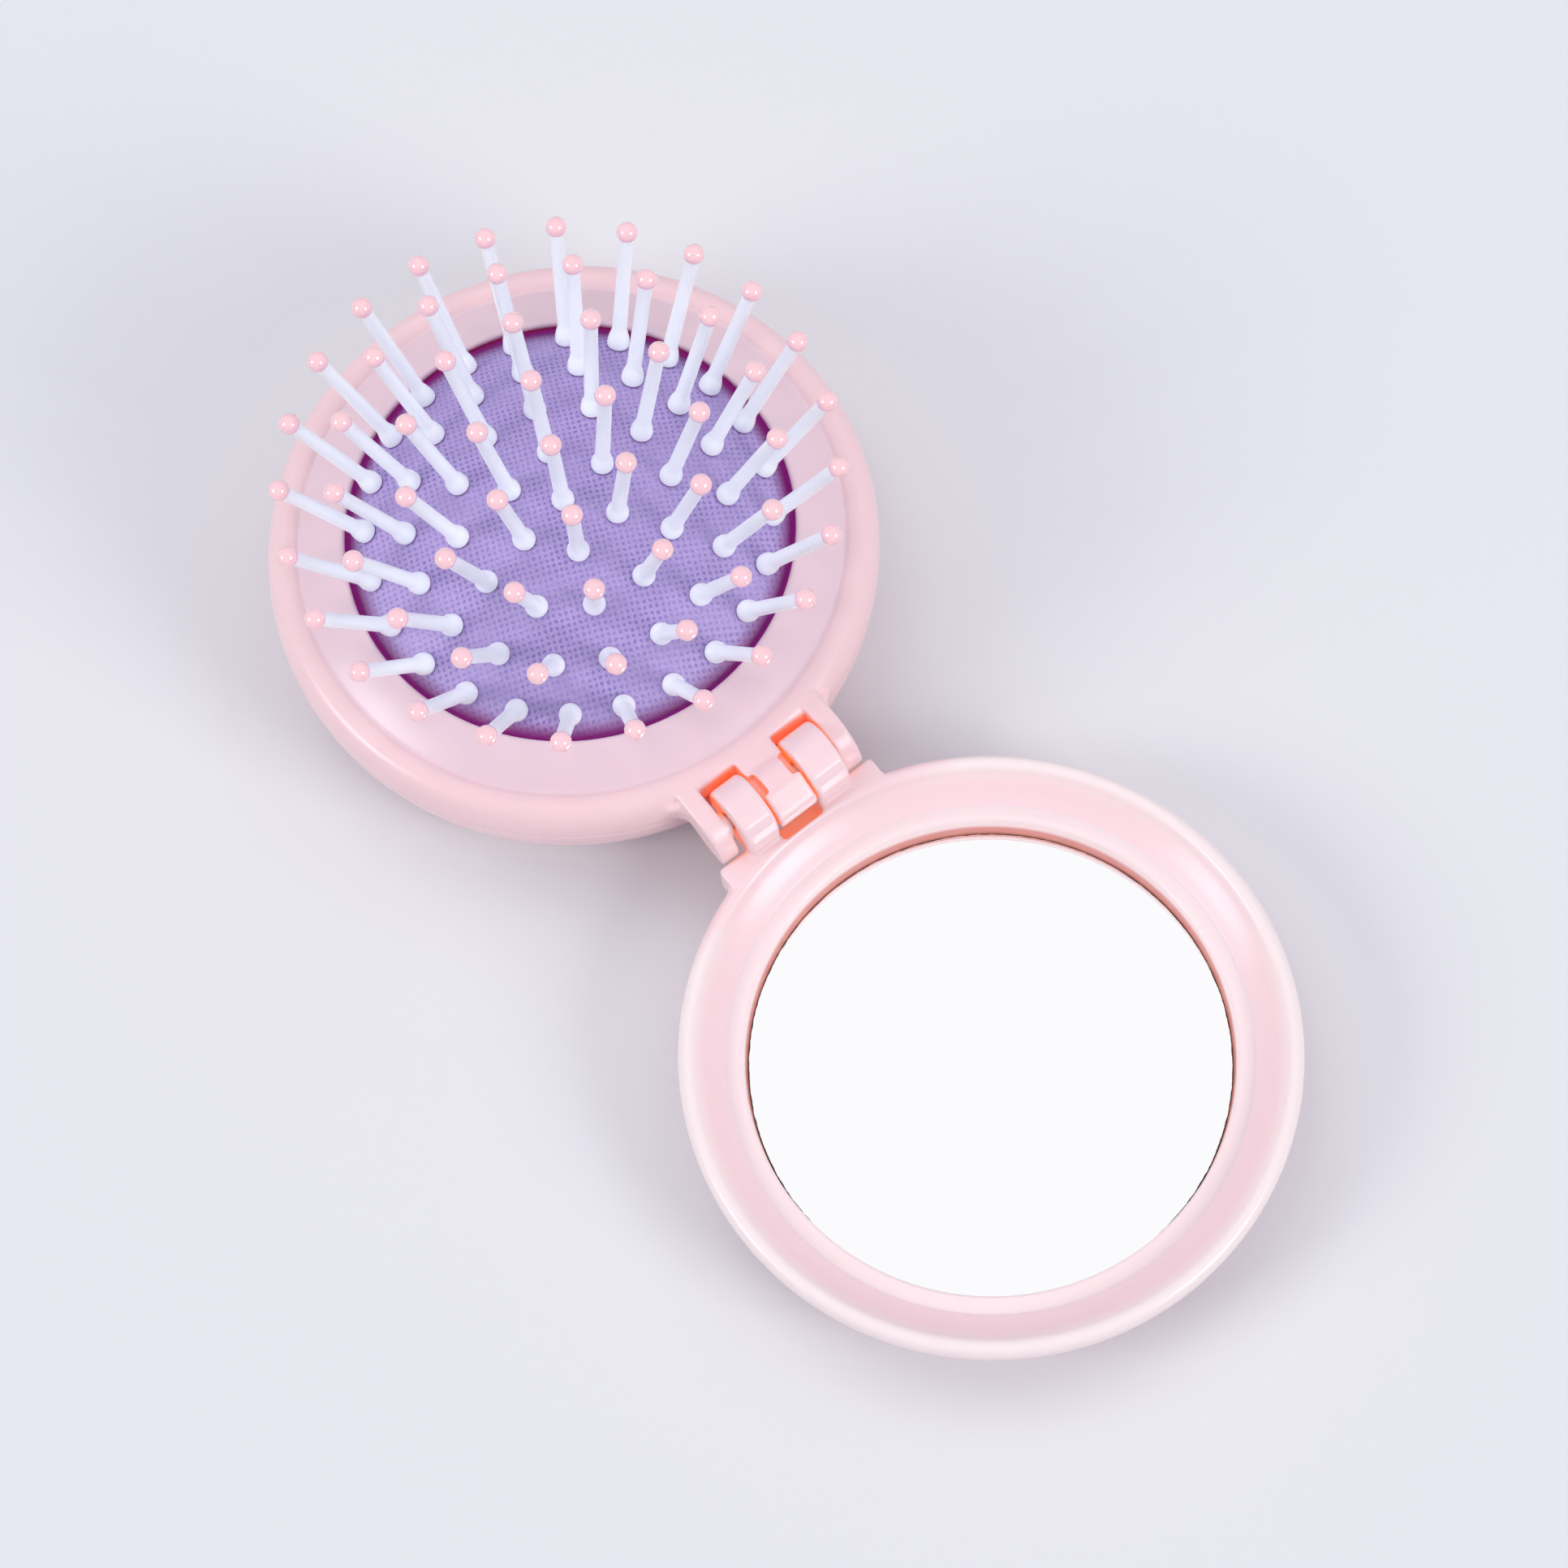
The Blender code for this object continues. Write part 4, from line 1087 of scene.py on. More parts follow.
@dataclass
class BrushHalf:
    """The half that carries the cushion: front frame, back shell and the ring that holds the cushion."""

    finishes: Finishes
    crest_inset: float = 2.2
    bead_width: float = 3.7
    bead_step: float = 0.6
    widest_drop: float = 3.6
    hole_radius: float = 25.3
    hole_rise: float = 1.8
    edge_thickness: float = 0.9
    wall: float = 1.6
    annulus_crown: float = 0.25
    seam_drop: float = 0.75
    collar_radius: float = 26.5
    collar_wall: float = 1.4
    collar_foot: float = 5.4
    base_radius: float = 27.0
    floor: float = 1.6
    thumb_radius: float = 17.0
    thumb_round: float = 0.6
    lip_height: float = 1.6
    lip_wall: float = 1.1
    seam_line: float = 0.05
    voxel: float = 0.2

    @property
    def widest_z(self) -> float:
        """Height of the widest line."""
        return LAYOUT.frame_crest_z - self.widest_drop

    @property
    def seam_z(self) -> float:
        """Height where the front frame ends and the back shell starts."""
        return self.widest_z - self.seam_drop

    def side_radius(self, z: float) -> float:
        """Radius of the bowl's outside at a height.

        Args:
            z: The height.

        Returns:
            The radius.
        """
        share = (self.widest_z - z) / self.widest_z
        return self.base_radius + (LAYOUT.brush_radius - self.base_radius) * math.sqrt(1 - share**2)

    def frame_profile(self) -> list[Point]:
        """Returns the front frame's section: hole edge, annulus, bead, side, inner wall and collar."""
        radius = LAYOUT.brush_radius
        crest_z = LAYOUT.frame_crest_z
        crest_r = radius - self.crest_inset
        step = (radius - self.bead_width, crest_z - self.bead_step)
        hole_z = crest_z + self.hole_rise
        hole_top = (self.hole_radius + 0.35, hole_z)
        middle = ((hole_top[0] + step[0]) / 2, (hole_top[1] + step[1]) / 2 + self.annulus_crown)
        inner = radius - self.wall
        under = middle[1] - self.wall
        collar_out = self.collar_radius + self.collar_wall
        lip_foot = hole_z - self.edge_thickness
        points = arc((self.hole_radius + 0.45, hole_z - 0.45), (0.45, 0.45), 180, 75, 5)
        points += self.swept(points[-1], middle, step)
        points += arc((crest_r, step[1]), (crest_r - step[0], self.bead_step), 176, 90, 8)
        points += arc((crest_r, self.widest_z), (self.crest_inset, self.widest_drop), 90, 0, 18)[1:]
        points += [(self.side_radius(self.seam_z), self.seam_z), (inner, self.seam_z)]
        points += arc(
            (inner - self.wall, self.widest_z), (self.wall, self.widest_drop - self.wall), 0, 90, 8
        )
        points += [(collar_out, under), (collar_out, self.collar_foot)]
        points += [(self.collar_radius, self.collar_foot), (self.collar_radius, lip_foot - 0.3)]
        return points + [(self.hole_radius, lip_foot)]

    def swept(self, first: Point, middle: Point, last: Point, steps: int = 10) -> list[Point]:
        """A gentle curve through three points.

        Args:
            first: Its start, which is left out.
            middle: A point that it passes.
            last: Its end, which is left out.
            steps: Number of pieces.

        Returns:
            The points between the two ends.
        """
        pull = Vector(middle) * 2 - (Vector(first) + Vector(last)) / 2
        points = []
        for k in range(1, steps):
            t = k / steps
            spot = Vector(first).lerp(pull, t).lerp(pull.lerp(Vector(last), t), t)
            points.append((spot.x, spot.y))
        return points

    def arm_outline(self) -> list[Point]:
        """Returns the side view of an outer arm."""
        back = HINGE.pocket_x - HINGE.wall / 2
        top = LAYOUT.frame_crest_z - LAYOUT.hinge_z - 0.15
        foot = HINGE.wall_foot
        end = HINGE.arm_end
        low = LAYOUT.lid_crest_z - LAYOUT.hinge_z - 0.1
        points = [(0.0, -HINGE.barrel), (end - 0.9, -HINGE.barrel), (end, low)]
        points += arc((-1.9, low + 0.15), (end + 1.9, top - low - 0.15), 2, 86, 14)
        return points + [(-2.4, top), (back, top), (back, foot), (-3.4, foot)]

    def tongue_outline(self) -> list[Point]:
        """Returns the side view of the middle tongue with its claw."""
        back = HINGE.pocket_x - HINGE.wall / 2
        top = LAYOUT.frame_crest_z - LAYOUT.hinge_z - 0.15
        foot = HINGE.wall_foot
        nose = HINGE.barrel / 2
        points = [(back, top), (back, foot), (-3.2, foot)]
        points += arc((0, 0), (HINGE.barrel, HINGE.barrel), 240, 290, 8)
        points += arc((HINGE.claw_reach - nose, 0.2), (nose, nose), -70, 60, 10)
        points += arc((0, 0), (HINGE.barrel, HINGE.barrel), 62, 135, 12)
        return points

    def build_front_frame(self) -> bpy.types.Object:
        """Returns the front frame: turned ring, hinge wall, arms, flares and tongue, fused."""
        ring = lathe(self.frame_profile(), "front_frame", centre_x=LAYOUT.brush_x)
        wall_top = LAYOUT.frame_crest_z - LAYOUT.hinge_z - self.wall + 0.3
        half = HINGE.half_width + 0.3
        wall = block(
            (HINGE.pocket_x - HINGE.wall, -half, HINGE.wall_foot), (HINGE.pocket_x, half, wall_top)
        )
        solids = [ring, wall, prism(self.tongue_outline(), 0.0, HINGE.tongue_width, HINGE.edge_round)]
        cutters = []
        for side in (-1, 1):
            solids.append(
                prism(self.arm_outline(), side * HINGE.arm_y, HINGE.arm_width, HINGE.edge_round)
            )
            solids.append(
                flare(
                    -1, LAYOUT.brush_x, LAYOUT.brush_radius, side, wall_top + 0.2, HINGE.wall_foot
                )
            )
            middle = side * HINGE.knuckle_y
            reach = HINGE.knuckle_width / 2 + 0.3
            cutters.append(
                block(
                    (HINGE.pocket_x, middle - reach, HINGE.wall_foot - 2),
                    (HINGE.barrel + 2, middle + reach, HINGE.barrel + 2),
                )
            )
            edges = sorted(
                side * (HINGE.tongue_width / 2 + out) for out in (-HINGE.notch_depth, HINGE.side_gap)
            )
            cutters.append(
                block(
                    (HINGE.notch[0], edges[0], HINGE.notch_floor),
                    (HINGE.notch[1], edges[1], HINGE.barrel + 2),
                )
            )
        cutters.append(rod(HINGE.bore, -HINGE.half_width + HINGE.end_wall, HINGE.half_width + 2))
        # A boss on the near arm fills the gap beside the narrower knuckle.
        face = HINGE.arm_y - HINGE.arm_width / 2
        boss = cut_mesh(rod(HINGE.boss, -face - 0.2, -face + HINGE.knuckle_trim + 0.1), cutters[-1])
        obj = fused("front_frame_moulding", solids, cutters, self.voxel, 3, [boss])
        dress(obj, self.finishes.frame)
        hand_over(obj, "brush_half", "brush_front_frame")
        return obj

    def build_back_shell(self) -> bpy.types.Object:
        """Returns the back shell: a bowl with the round thumb opening and the lip that finds the frame."""
        gap = LAYOUT.clearance
        top_z = self.seam_z - self.seam_line
        width = LAYOUT.brush_radius - self.base_radius
        start = math.degrees(math.acos((self.side_radius(top_z) - self.base_radius) / width))
        inner = LAYOUT.brush_radius - self.wall
        lip = inner - gap
        lip_top = top_z + self.lip_height
        thumb = self.thumb_radius
        points = [(lip, lip_top), (lip, top_z)]
        points += arc((self.base_radius, self.widest_z), (width, self.widest_z), -start, -90, 24)
        edge = self.thumb_round
        points += arc((thumb + edge, edge), (edge, edge), -90, -180, 6)
        points += [(thumb, self.floor)]
        inner_radii = (inner - self.base_radius, self.widest_z - self.floor)
        points += arc((self.base_radius, self.widest_z), inner_radii, -90, -start, 16)[:-1]
        points += [(lip - self.lip_wall, top_z), (lip - self.lip_wall, lip_top)]
        profile = softened(points, True, 0.2)
        obj = piece_of(lathe(profile, "back_shell", centre_x=LAYOUT.brush_x), "back_shell_moulding")
        half = HINGE.half_width + 2 * gap
        low = self.seam_z - LAYOUT.hinge_z - gap
        back = HINGE.pocket_x - HINGE.wall - gap
        room = block((back, -half, low), (HINGE.barrel, half, low + 4))
        sweep = rod(HINGE.knuckle_barrel + 2 * gap, -half, half)  # where the knuckles turn
        combined(obj, Join.CUT, [room, sweep])
        obj.data.set_sharp_from_angle(angle=math.radians(40))
        dress(obj, self.finishes.shell)
        hand_over(obj, "brush_half", "brush_back_shell")
        return obj

    def build(self) -> None:
        """Builds and dresses every piece of the half but cushion and pins."""
        self.build_front_frame()
        self.build_back_shell()
        dress_node("retaining_ring", self.finishes.inner)
        dress_node("hinge_pin", self.finishes.steel)


@dataclass
class PinField:
    """The pins: a centre and four rings that stand at right angles to the dome."""

    finishes: Finishes
    dome_radius: float = 42.0
    dome_centre_z: float = -16.975
    hole_radius: float = 25.3
    pad_thickness: float = 1.0
    length: float = 15.16
    ball: float = 1.19
    shaft_tip: float = 0.78
    shaft_root: float = 0.85
    bulb: float = 1.28
    bulb_height: float = 2.6
    neck: float = 0.65
    flange: float = 1.7
    flange_thickness: float = 0.6
    sides: int = 20
    counts: tuple[int, ...] = (6, 12, 18, 24)
    root_shares: tuple[float, ...] = (0.24, 0.477, 0.702, 0.889)
    ray: float = 38.5

    def profile(self) -> list[Point]:
        """Returns a pin's section, from the top of its ball down to the flange under the cushion."""
        foot = -self.pad_thickness - LAYOUT.clearance
        meet = math.degrees(math.acos(self.shaft_tip / self.ball))
        points = arc((0.0, self.length), (self.ball, self.ball), 90, -meet, 14)
        points[0] = (0.0, self.length + self.ball)
        points += [(self.shaft_root, self.bulb_height + 0.6)]
        neck_in = [(0.0, 0.0), (0.08, 0.12), (0.32, 0.32), (0.66, 0.56), (0.91, 0.8), (1.0, 1.0)]
        for share, drop in neck_in:
            radius = self.shaft_root + (self.bulb - self.shaft_root) * share
            points.append((radius, self.bulb_height - drop * (self.bulb_height - 0.8)))
        points += arc((self.bulb - 0.45, 0.55), (0.45, 0.5), 10, -80, 5)
        points += [(self.neck, 0.06), (self.neck, foot), (self.flange - 0.1, foot)]
        points += [(self.flange, foot - 0.1), (self.flange, foot - self.flange_thickness + 0.1)]
        points += [(self.flange - 0.1, foot - self.flange_thickness)]
        return points + [(0.0, foot - self.flange_thickness)]

    def stand(self, ring: int, azimuth: float) -> Matrix:
        """Where a pin stands.

        Args:
            ring: Its ring, 0 for the centre.
            azimuth: Its direction from the dome's middle, in radians.

        Returns:
            The matrix that takes the template there, in metres.
        """
        radius = self.hole_radius * self.root_shares[ring - 1] if ring else 0.0
        tilt = math.asin(radius / self.dome_radius)
        height = self.dome_centre_z + self.dome_radius * math.cos(tilt)
        return (
            Matrix.Translation((LAYOUT.brush_x * MM, 0.0, 0.0))
            @ Matrix.Rotation(azimuth, 4, "Z")
            @ Matrix.Translation((radius * MM, 0.0, height * MM))
            @ Matrix.Rotation(tilt, 4, "Y")
        )

    def azimuths(self, ring: int) -> list[float]:
        """Directions of a ring's pins.

        Args:
            ring: The ring, from 1.

        Returns:
            Angles in radians.
        """
        count = self.counts[ring - 1]
        return [math.radians(self.ray + 360 * i / count) for i in range(count)]

    def groups(self) -> dict[str, list[Matrix]]:
        """Returns, for each CAD node, where its pins stand."""
        groups = {"pins_centre": [self.stand(0, 0.0)] + [self.stand(1, a) for a in self.azimuths(1)]}
        second = self.azimuths(2)
        for k in range(len(second) // 2):
            groups[f"pin_pair_{k + 1}"] = [self.stand(2, a) for a in second[2 * k : 2 * k + 2]]
        for ring in (3, 4):
            for i, azimuth in enumerate(self.azimuths(ring)):
                groups[f"pin_{ring}_{i + 1:02d}"] = [self.stand(ring, azimuth)]
        return groups

    def template(self) -> bpy.types.Mesh:
        """Returns one pin at the origin, its ball in the second material slot."""
        mesh = lathe(self.profile(), "pin", steps=self.sides, closed=False)
        mesh.set_sharp_from_angle(angle=math.radians(50))
        meet = self.length - math.sqrt(self.ball**2 - self.shaft_tip**2)
        for face in mesh.polygons:
            face.material_index = int(face.center.z > (meet - 0.01) * MM)
        return mesh

    def build(self) -> None:
        """Builds one piece for each CAD node of pins."""
        template = self.template()
        for node, stands in self.groups().items():
            shape = bmesh.new()
            for stand in stands:
                one = template.copy()
                one.transform(stand)
                shape.from_mesh(one)
                bpy.data.meshes.remove(one)
            mesh = bpy.data.meshes.new(node)
            shape.to_mesh(mesh)
            shape.free()
            obj = piece_of(mesh, "nylon_" + node)
            dress(obj, self.finishes.nylon, self.finishes.bead)
            hand_over(obj, node, node)


@dataclass
class Cushion:
    """The domed rubber pad with a raised collar round each pin."""

    finishes: Finishes
    pins: PinField
    thickness: float = 1.0
    skirt_radius: float = 26.2
    shoulder: float = 4.0
    foot_z: float = 2.0
    foot_width: float = 1.7
    collar_radius: float = 1.42
    collar_height: float = 0.16
    collar_spread: float = 0.32
    hole_radius: float = 0.95
    keep: float = 0.11
    steps: int = 300
    row: float = 0.45

    def profile(self) -> list[Point]:
        """Returns the pad's section: dome, shoulder, skirt and foot, then back up inside."""
        big = self.pins.dome_radius
        centre = (0.0, self.pins.dome_centre_z)
        edge = math.asin((self.skirt_radius - self.shoulder) / (big - self.shoulder))
        bend = (
            (big - self.shoulder) * math.sin(edge),
            centre[1] + (big - self.shoulder) * math.cos(edge),
        )
        degrees = math.degrees(edge)
        rows = int(big * edge / self.row)
        inside = big - self.thickness
        inner_bend = self.shoulder - self.thickness
        foot_top = self.foot_z + self.thickness
        foot_r = self.skirt_radius + self.foot_width
        points = arc(centre, (big, big), 90, 90 - degrees, rows)
        points[0] = (0.0, centre[1] + big)
        points += arc(bend, (self.shoulder, self.shoulder), 90 - degrees, 0, 8)[1:]
        points += [(self.skirt_radius, foot_top), (foot_r, foot_top), (foot_r, self.foot_z)]
        points += [(self.skirt_radius - self.thickness, self.foot_z)]
        points += arc(bend, (inner_bend, inner_bend), 0, 90 - degrees, 3)
        points += arc(centre, (inside, inside), 90 - degrees, 90, 16)[1:]
        points[-1] = (0.0, centre[1] + inside)
        return points

    def raise_collars(self, mesh: bpy.types.Mesh, stands: list[Matrix]) -> None:
        """Lifts the outer face a little round each pin.

        Args:
            mesh: The pad's mesh, in metres.
            stands: Where the pins stand.
        """
        count = len(mesh.vertices)
        spots = np.empty(count * 3)
        mesh.vertices.foreach_get("co", spots)
        spots = spots.reshape(-1, 3)
        centre = np.array([LAYOUT.brush_x, 0.0, self.pins.dome_centre_z]) * MM
        away = spots - centre
        reach = np.linalg.norm(away, axis=1)
        outer = np.abs(reach - self.pins.dome_radius * MM) < 0.05 * MM
        lift = np.zeros(count)
        for stand in stands:
            root = np.array(stand.translation)
            apart = np.linalg.norm(spots - root, axis=1) / MM
            bump = np.exp(-(((apart - self.collar_radius) / self.collar_spread) ** 2))
            lift = np.maximum(lift, bump * self.collar_height)
        moved = spots + away / reach[:, None] * (lift * outer * MM)[:, None]
        mesh.vertices.foreach_set("co", moved.ravel())
        mesh.update()

    def build(self) -> None:
        """Builds the pad and cuts its pin holes."""
        mesh = lathe(self.profile(), "cushion", self.steps, False, LAYOUT.brush_x)
        stands = [stand for group in self.pins.groups().values() for stand in group]
        self.raise_collars(mesh, stands)
        obj = piece_of(mesh, "cushion_rubber")
        holes = bmesh.new()
        for stand in stands:
            bmesh.ops.create_cone(
                holes,
                cap_ends=True,
                segments=12,
                radius1=self.hole_radius * MM,
                radius2=self.hole_radius * MM,
                depth=3 * MM,
                matrix=stand,
            )
        cutter = bpy.data.meshes.new("holes")
        holes.to_mesh(cutter)
        holes.free()
        combined(obj, Join.CUT, [cutter])
        obj.data.set_sharp_from_angle(angle=math.radians(50))
        dress(obj, self.finishes.rubber)
        hand_over(obj, "brush_half", "cushion_pad")
        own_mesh(obj)


@dataclass
class Lid:
    """The mirror half: shell with two knuckles, bezel ring, mirror and the tape behind it."""

    finishes: Finishes
    crest_inset: float = 1.1
    widest_drop: float = 1.4
    base_radius: float = 25.0
    floor: float = 2.15
    crease_radius: float = 28.9
    crease_drop: float = 2.9
    channel: tuple[Point, ...] = ((1.35, 0.25), (2.7, 0.62))
    mirror_radius: float = 26.3
    mirror_grow: float = 0.26
    mirror_z: float = 3.15
    mirror_thickness: float = 1.8
    bezel_flare: float = 0.3
    bezel_rise: float = 0.34
    bezel_lip_drop: float = 0.9
    bezel_roll: float = 0.4
    voxel: float = 0.2
    ledge_radius: float = 28.2
    lap: float = 0.5
    shoulder_out: float = 0.8
    shoulder_round: float = 0.5

    @property
    def crease_z(self) -> float:
        """Height of the crease between channel and bezel."""
        return LAYOUT.lid_crest_z - self.crease_drop

    def shell_profile(self) -> list[Point]:
        """Returns the shell's section from the middle of its inside to the middle of its back."""
        crest_z = LAYOUT.lid_crest_z
        seat = self.ledge_radius + 0.05
        widest_z = crest_z - self.widest_drop
        crest_r = LAYOUT.lid_radius - self.crest_inset
        side = (LAYOUT.lid_radius - self.base_radius, widest_z)
        knots = [(self.crease_radius, self.crease_z - 0.05)]
        knots += [
            (self.crease_radius + out, self.crease_z + share * self.crease_drop)
            for out, share in self.channel
        ]
        rim = arc((crest_r, widest_z), (self.crest_inset, self.widest_drop), 135, 0, 16)
        points = [(0.0, self.floor), (seat, self.floor), (seat, self.crease_z - self.lap)]
        points += curved(knots + [rim[0]], 5)
        points += rim[1:]
        points += arc((self.base_radius, widest_z), side, 0, -90, 24)[1:]
        return points + [(0.0, 0.0)]

    def knuckle_outline(self) -> list[Point]:
        """Returns the side view of a knuckle."""
        crest = LAYOUT.lid_crest_z - LAYOUT.hinge_z
        foot = crest - HINGE.block_depth
        back = HINGE.root_reach + 1.8
        barrel = HINGE.knuckle_barrel
        points = [(back, crest), (4.15, crest), (4.2, -1.4), (4.1, 0.4), (3.7, 1.65), (2.9, 2.7)]
        points += arc((0, 0), (barrel, barrel), 62, 270, 28)
        return points + [(HINGE.root_reach, foot), (back, foot)]

    def shoulder(self) -> bpy.types.Mesh:
        """Returns the straight shoulder along the hinge, its outer corners rounded in plan."""
        top = LAYOUT.lid_crest_z - LAYOUT.hinge_z - 0.15
        foot = top - HINGE.block_depth
        front = HINGE.shoulder_front
        half = HINGE.half_width + self.shoulder_out
        bend = self.shoulder_round
        plan = arc((front + bend, half - bend), (bend, bend), 180, 90, 8)
        plan += [(HINGE.block_back, half), (HINGE.block_back, -half)]
        plan += arc((front + bend, bend - half), (bend, bend), 270, 180, 8)
        return slab(plan, foot, top + 0.05, 0.2)

    def build_shell(self) -> bpy.types.Object:
        """Returns the lid shell with its shoulder, flares and knuckles fused on."""
        solids = [self.shoulder()]
        half = HINGE.half_width + self.shoulder_out
        top = LAYOUT.lid_crest_z - LAYOUT.hinge_z - 1.2
        for side in (-1, 1):
            # The near knuckle is a little narrower than the far one, on its outer side.
            trim = HINGE.knuckle_trim if side < 0 else 0.0
            middle = side * (HINGE.knuckle_y - trim / 2)
            solids.append(prism(self.knuckle_outline(), middle, HINGE.knuckle_width - trim, 0.4))
            solids.append(
                flare(1, LAYOUT.lid_x, LAYOUT.lid_radius, side, top, top - 3.4, half, 1.6)
            )
        core_r = LAYOUT.lid_radius - self.crest_inset - 0.3
        core_profile = [(0.0, 13.0), (core_r, 13.0), (core_r, -2.0), (0.0, -2.0)]
        core = lathe(core_profile, "core", closed=False, centre_x=LAYOUT.lid_x)
        solids = [cut_mesh(solid, core) for solid in solids]
        solids.append(lathe(self.shell_profile(), "lid_shell", closed=False, centre_x=LAYOUT.lid_x))
        half_slot = HINGE.tongue_width / 2 + HINGE.side_gap
        slot = rod(HINGE.slot_reach, -half_slot, half_slot)
        well = block((2.0, -half_slot, HINGE.slot_floor), (HINGE.slot_end, half_slot, 0.0))
        bore = rod(HINGE.bore, -HINGE.half_width, HINGE.half_width)
        obj = fused("lid_shell_moulding", solids, [slot, well, bore], self.voxel, 3)
        dress(obj, self.finishes.lid)
        hand_over(obj, "lid_half", "lid_shell")
        return obj

    def build_bezel(self) -> bpy.types.Object:
        """Returns the bezel ring: rounded land, lip and steep inner wall."""
        bore = self.mirror_radius + 0.3
        outer = self.crease_radius + 0.15
        lip = bore + self.bezel_flare
        mirror_top = self.mirror_z + self.mirror_thickness
        foot = self.floor + 0.3
        top = self.crease_z + self.bezel_rise
        roll = (lip + self.bezel_roll, top - self.bezel_roll)
        points = [(bore, mirror_top), (lip, self.crease_z + self.bezel_rise - self.bezel_lip_drop)]
        points += arc(roll, (self.bezel_roll, self.bezel_roll), 175, 90, 6)
        fall = self.bezel_rise + 0.08
        for k in range(1, 13):
            wave = (1 - math.cos(math.pi * k / 12)) / 2
            points.append((roll[0] + (outer - roll[0]) * k / 12, top - fall * wave))
        points += [(self.ledge_radius, self.crease_z - self.lap + 0.05), (self.ledge_radius, foot)]
        points += [(bore, foot)]
        mesh = lathe(softened(points, True, 0.15), "bezel", 256, centre_x=LAYOUT.lid_x)
        mesh.set_sharp_from_angle(angle=math.radians(50))
        obj = piece_of(mesh, "bezel_moulding")
        dress(obj, self.finishes.bezel)
        hand_over(obj, "lid_half", "mirror_bezel_ring")
        return obj

    def build_mirror(self) -> bpy.types.Object:
        """Returns the mirror with its ground edge."""
        top = self.mirror_z + self.mirror_thickness
        radius = self.mirror_radius + self.mirror_grow
        grind = 0.08
        points = [(0.0, top), (radius - grind, top), (radius, top - grind)]
        points += [(radius, self.mirror_z), (0.0, self.mirror_z)]
        mesh = lathe(points, "mirror", 256, closed=False, centre_x=LAYOUT.lid_x)
        mesh.set_sharp_from_angle(angle=math.radians(20))
        obj = piece_of(mesh, "mirror_pane")
        dress(obj, self.finishes.mirror)
        hand_over(obj, "lid_half", "mirror_glass")
        return obj

    def build(self) -> None:
        """Builds and dresses every piece of the lid."""
        self.build_shell()
        self.build_bezel()
        self.build_mirror()
        dress_node("mirror_tape", self.finishes.foam)


def curved(knots: list[Point], steps: int) -> list[Point]:
    """A smooth line through some points.

    Args:
        knots: The points, in order.
        steps: Pieces between two of them.

    Returns:
        The points of a Catmull-Rom curve, both ends included.
    """
    ends = [knots[0], *knots, knots[-1]]
    points = []
    for a, b, c, d in zip(ends, ends[1:], ends[2:], ends[3:]):
        for k in range(steps):
            t = k / steps
            points.append(
                tuple(
                    0.5
                    * (
                        2 * b[i]
                        + (c[i] - a[i]) * t
                        + (2 * a[i] - 5 * b[i] + 4 * c[i] - d[i]) * t * t
                        + (3 * b[i] - a[i] - 3 * c[i] + d[i]) * t**3
                    )
                    for i in (0, 1)
                )
            )
    return points + [knots[-1]]


@dataclass
class SoftBox:
    """One square soft studio light."""

    name: str
    direction: tuple[float, float, float]
    distance: float
    width: float
    power: float
    mirrored: bool = True
    colour: str = "FFFDFA"

    def build(self) -> None:
        """Hangs the light and points it at the comb."""
        data = bpy.data.lights.new(self.name, "AREA")
        data.shape = "SQUARE"
        data.size = self.width
        data.energy = self.power
        data.color = linear(self.colour)[:3]
        obj = piece_of(data, self.name)
        obj.visible_glossy = self.mirrored
        toward = Vector(self.direction).normalized()
        obj.location = toward * self.distance
        obj.rotation_euler = toward.to_track_quat("Z", "Y").to_euler()


@dataclass(frozen=True)
class PaleCard:
    """Pale matt card, which runs out into an even backdrop far from the comb."""

    name: str = "matt_pale_card"
    low: str = "E2E3E5"
    high: str = "E3E4E6"
    far: str = "E9E9F1"
    patch_size: float = 60.0
    near: float = 250.0
    away: float = 700.0

    def build(self) -> bpy.types.Material:
        """Returns the finished material."""
        material, tree = new_material(self.name)
        place = add_node(tree, "TexCoord").outputs["Object"]
        patches = add_node(tree, "TexNoise", {"Vector": place, "Scale": 1 / (self.patch_size * MM)})
        colour = mixed(tree, patches.outputs[0], linear(self.low), linear(self.high))
        card = add_node(tree, "BsdfPrincipled", {"Base Color": colour, "Roughness": 0.8, "IOR": 1.5})
        even = add_node(tree, "Emission", {"Color": linear(self.far), "Strength": 1.0})
        path = add_node(tree, "LightPath").outputs["Is Camera Ray"]
        distance = ramp(tree, reach_from(tree, place, 0.0), self.near * MM, self.away * MM)
        share = add_node(tree, "Math", {0: path, 1: distance}, operation="MULTIPLY")
        both = add_node(
            tree, "MixShader", {0: share.outputs[0], 1: card.outputs[0], 2: even.outputs[0]}
        )
        add_node(tree, "OutputMaterial", {"Surface": both.outputs[0]})
        return material


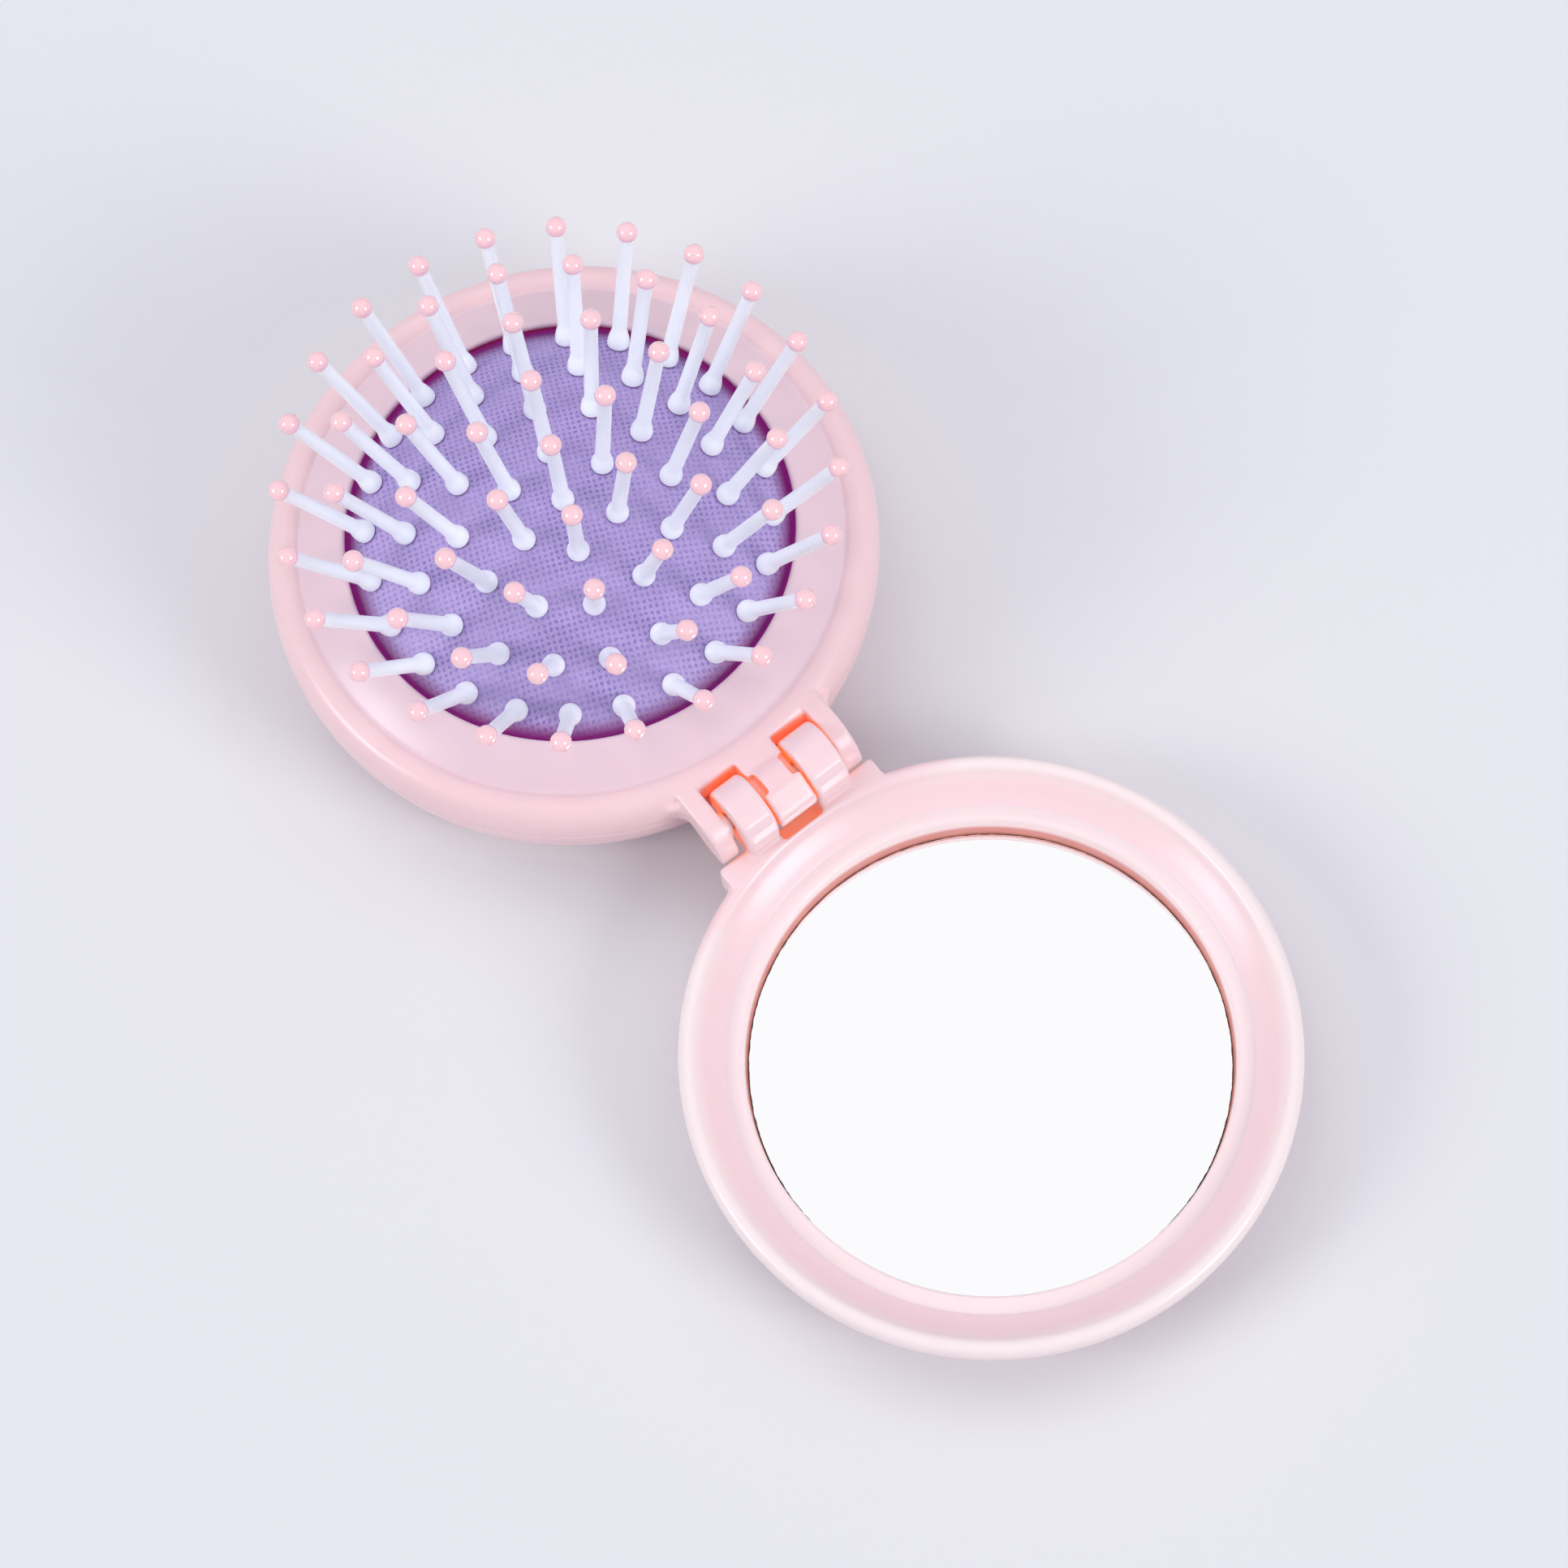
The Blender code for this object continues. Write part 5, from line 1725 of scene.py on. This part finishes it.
@dataclass
class Studio:
    """Camera, pale table and soft light."""

    eye: tuple[float, float, float] = (141.76, -85.55, 467.59)
    target: tuple[float, float, float] = (-1.82, 2.253, 5.6)
    roll: float = -6.996
    focal_pixels: float = 5400.0
    frame_pixels: float = 1932.0
    sensor: float = 36.0
    sky_colour: str = "E6E7FF"
    sky_strength: float = 0.46
    lights: list[SoftBox] = field(
        default_factory=lambda: [
            SoftBox("right", (0.8, 0.3, 0.5), 2.0, 0.8, 16.4),
            SoftBox("left", (-0.25, -0.8, 0.53), 2.0, 0.8, 13.6),
            SoftBox("back_left", (-0.45, -0.05, 0.89), 2.0, 1.4, 9.6, False),
            SoftBox("back_right", (-0.06, 0.56, 0.83), 2.0, 1.4, 6.0, False),
        ]
    )

    def build_camera(self) -> None:
        """Stands the camera where the photograph was taken."""
        data = bpy.data.cameras.new("photo_camera")
        data.sensor_width = self.sensor
        data.lens = self.focal_pixels / self.frame_pixels * self.sensor
        data.clip_start = 0.01
        data.clip_end = 20.0
        camera = piece_of(data, "photo_camera")
        eye = Vector(self.eye) * MM
        forward = (Vector(self.target) * MM - eye).normalized()
        level = forward.cross(Vector((0, 0, 1))).normalized()
        up = level.cross(forward)
        turn = math.radians(self.roll)
        right = level * math.cos(turn) + up * math.sin(turn)
        top = up * math.cos(turn) - level * math.sin(turn)
        rotation = Matrix((right, top, -forward)).transposed().to_4x4()
        camera.matrix_world = Matrix.Translation(eye) @ rotation
        bpy.context.scene.camera = camera

    def build_table(self) -> None:
        """Lays the pale table top under the comb."""
        half = 3.0
        corners = [(-half, -half, 0.0), (half, -half, 0.0), (half, half, 0.0), (-half, half, 0.0)]
        mesh = bpy.data.meshes.new("table_top")
        mesh.from_pydata(corners, [], [(0, 1, 2, 3)])
        top = piece_of(mesh, "table_top")
        dress(top, PaleCard().build())

    def build_sky(self) -> None:
        """Lights the set from all round, and shows plain white in mirrors."""
        world = bpy.data.worlds.new("studio")
        world.use_nodes = True
        tree = world.node_tree
        tree.nodes.clear()
        path = add_node(tree, "LightPath")
        seen = add_node(
            tree,
            "Math",
            {0: path.outputs["Is Camera Ray"], 1: path.outputs["Is Glossy Ray"]},
            operation="MAXIMUM",
        )
        seen = add_node(
            tree,
            "Math",
            {0: seen.outputs[0], 1: path.outputs["Is Transmission Ray"]},
            operation="MAXIMUM",
        )
        soft = add_node(
            tree, "Background", {"Color": linear(self.sky_colour), "Strength": self.sky_strength}
        )
        backdrop = mixed(tree, path.outputs["Is Camera Ray"], linear("FDFDFE"), linear(PaleCard.far))
        plain = add_node(tree, "Background", {"Color": backdrop, "Strength": 1.0})
        both = add_node(tree, "MixShader", {0: seen.outputs[0], 1: soft.outputs[0], 2: plain.outputs[0]})
        add_node(tree, "OutputWorld", {"Surface": both.outputs[0]})
        bpy.context.scene.world = world

    def build(self) -> None:
        """Sets up camera, table, sky and lights."""
        bpy.context.scene.view_settings.view_transform = "Standard"
        self.build_camera()
        self.build_table()
        self.build_sky()
        for light in self.lights:
            light.build()


def main() -> None:
    """Builds the comb and its set."""
    logging.basicConfig(level=logging.INFO, format="%(message)s")
    Studio().build()
    finishes = Finishes()
    pins = PinField(finishes)
    BrushHalf(finishes).build()
    pins.build()
    Cushion(finishes, pins).build()
    Lid(finishes).build()


if __name__ == "__main__":
    main()
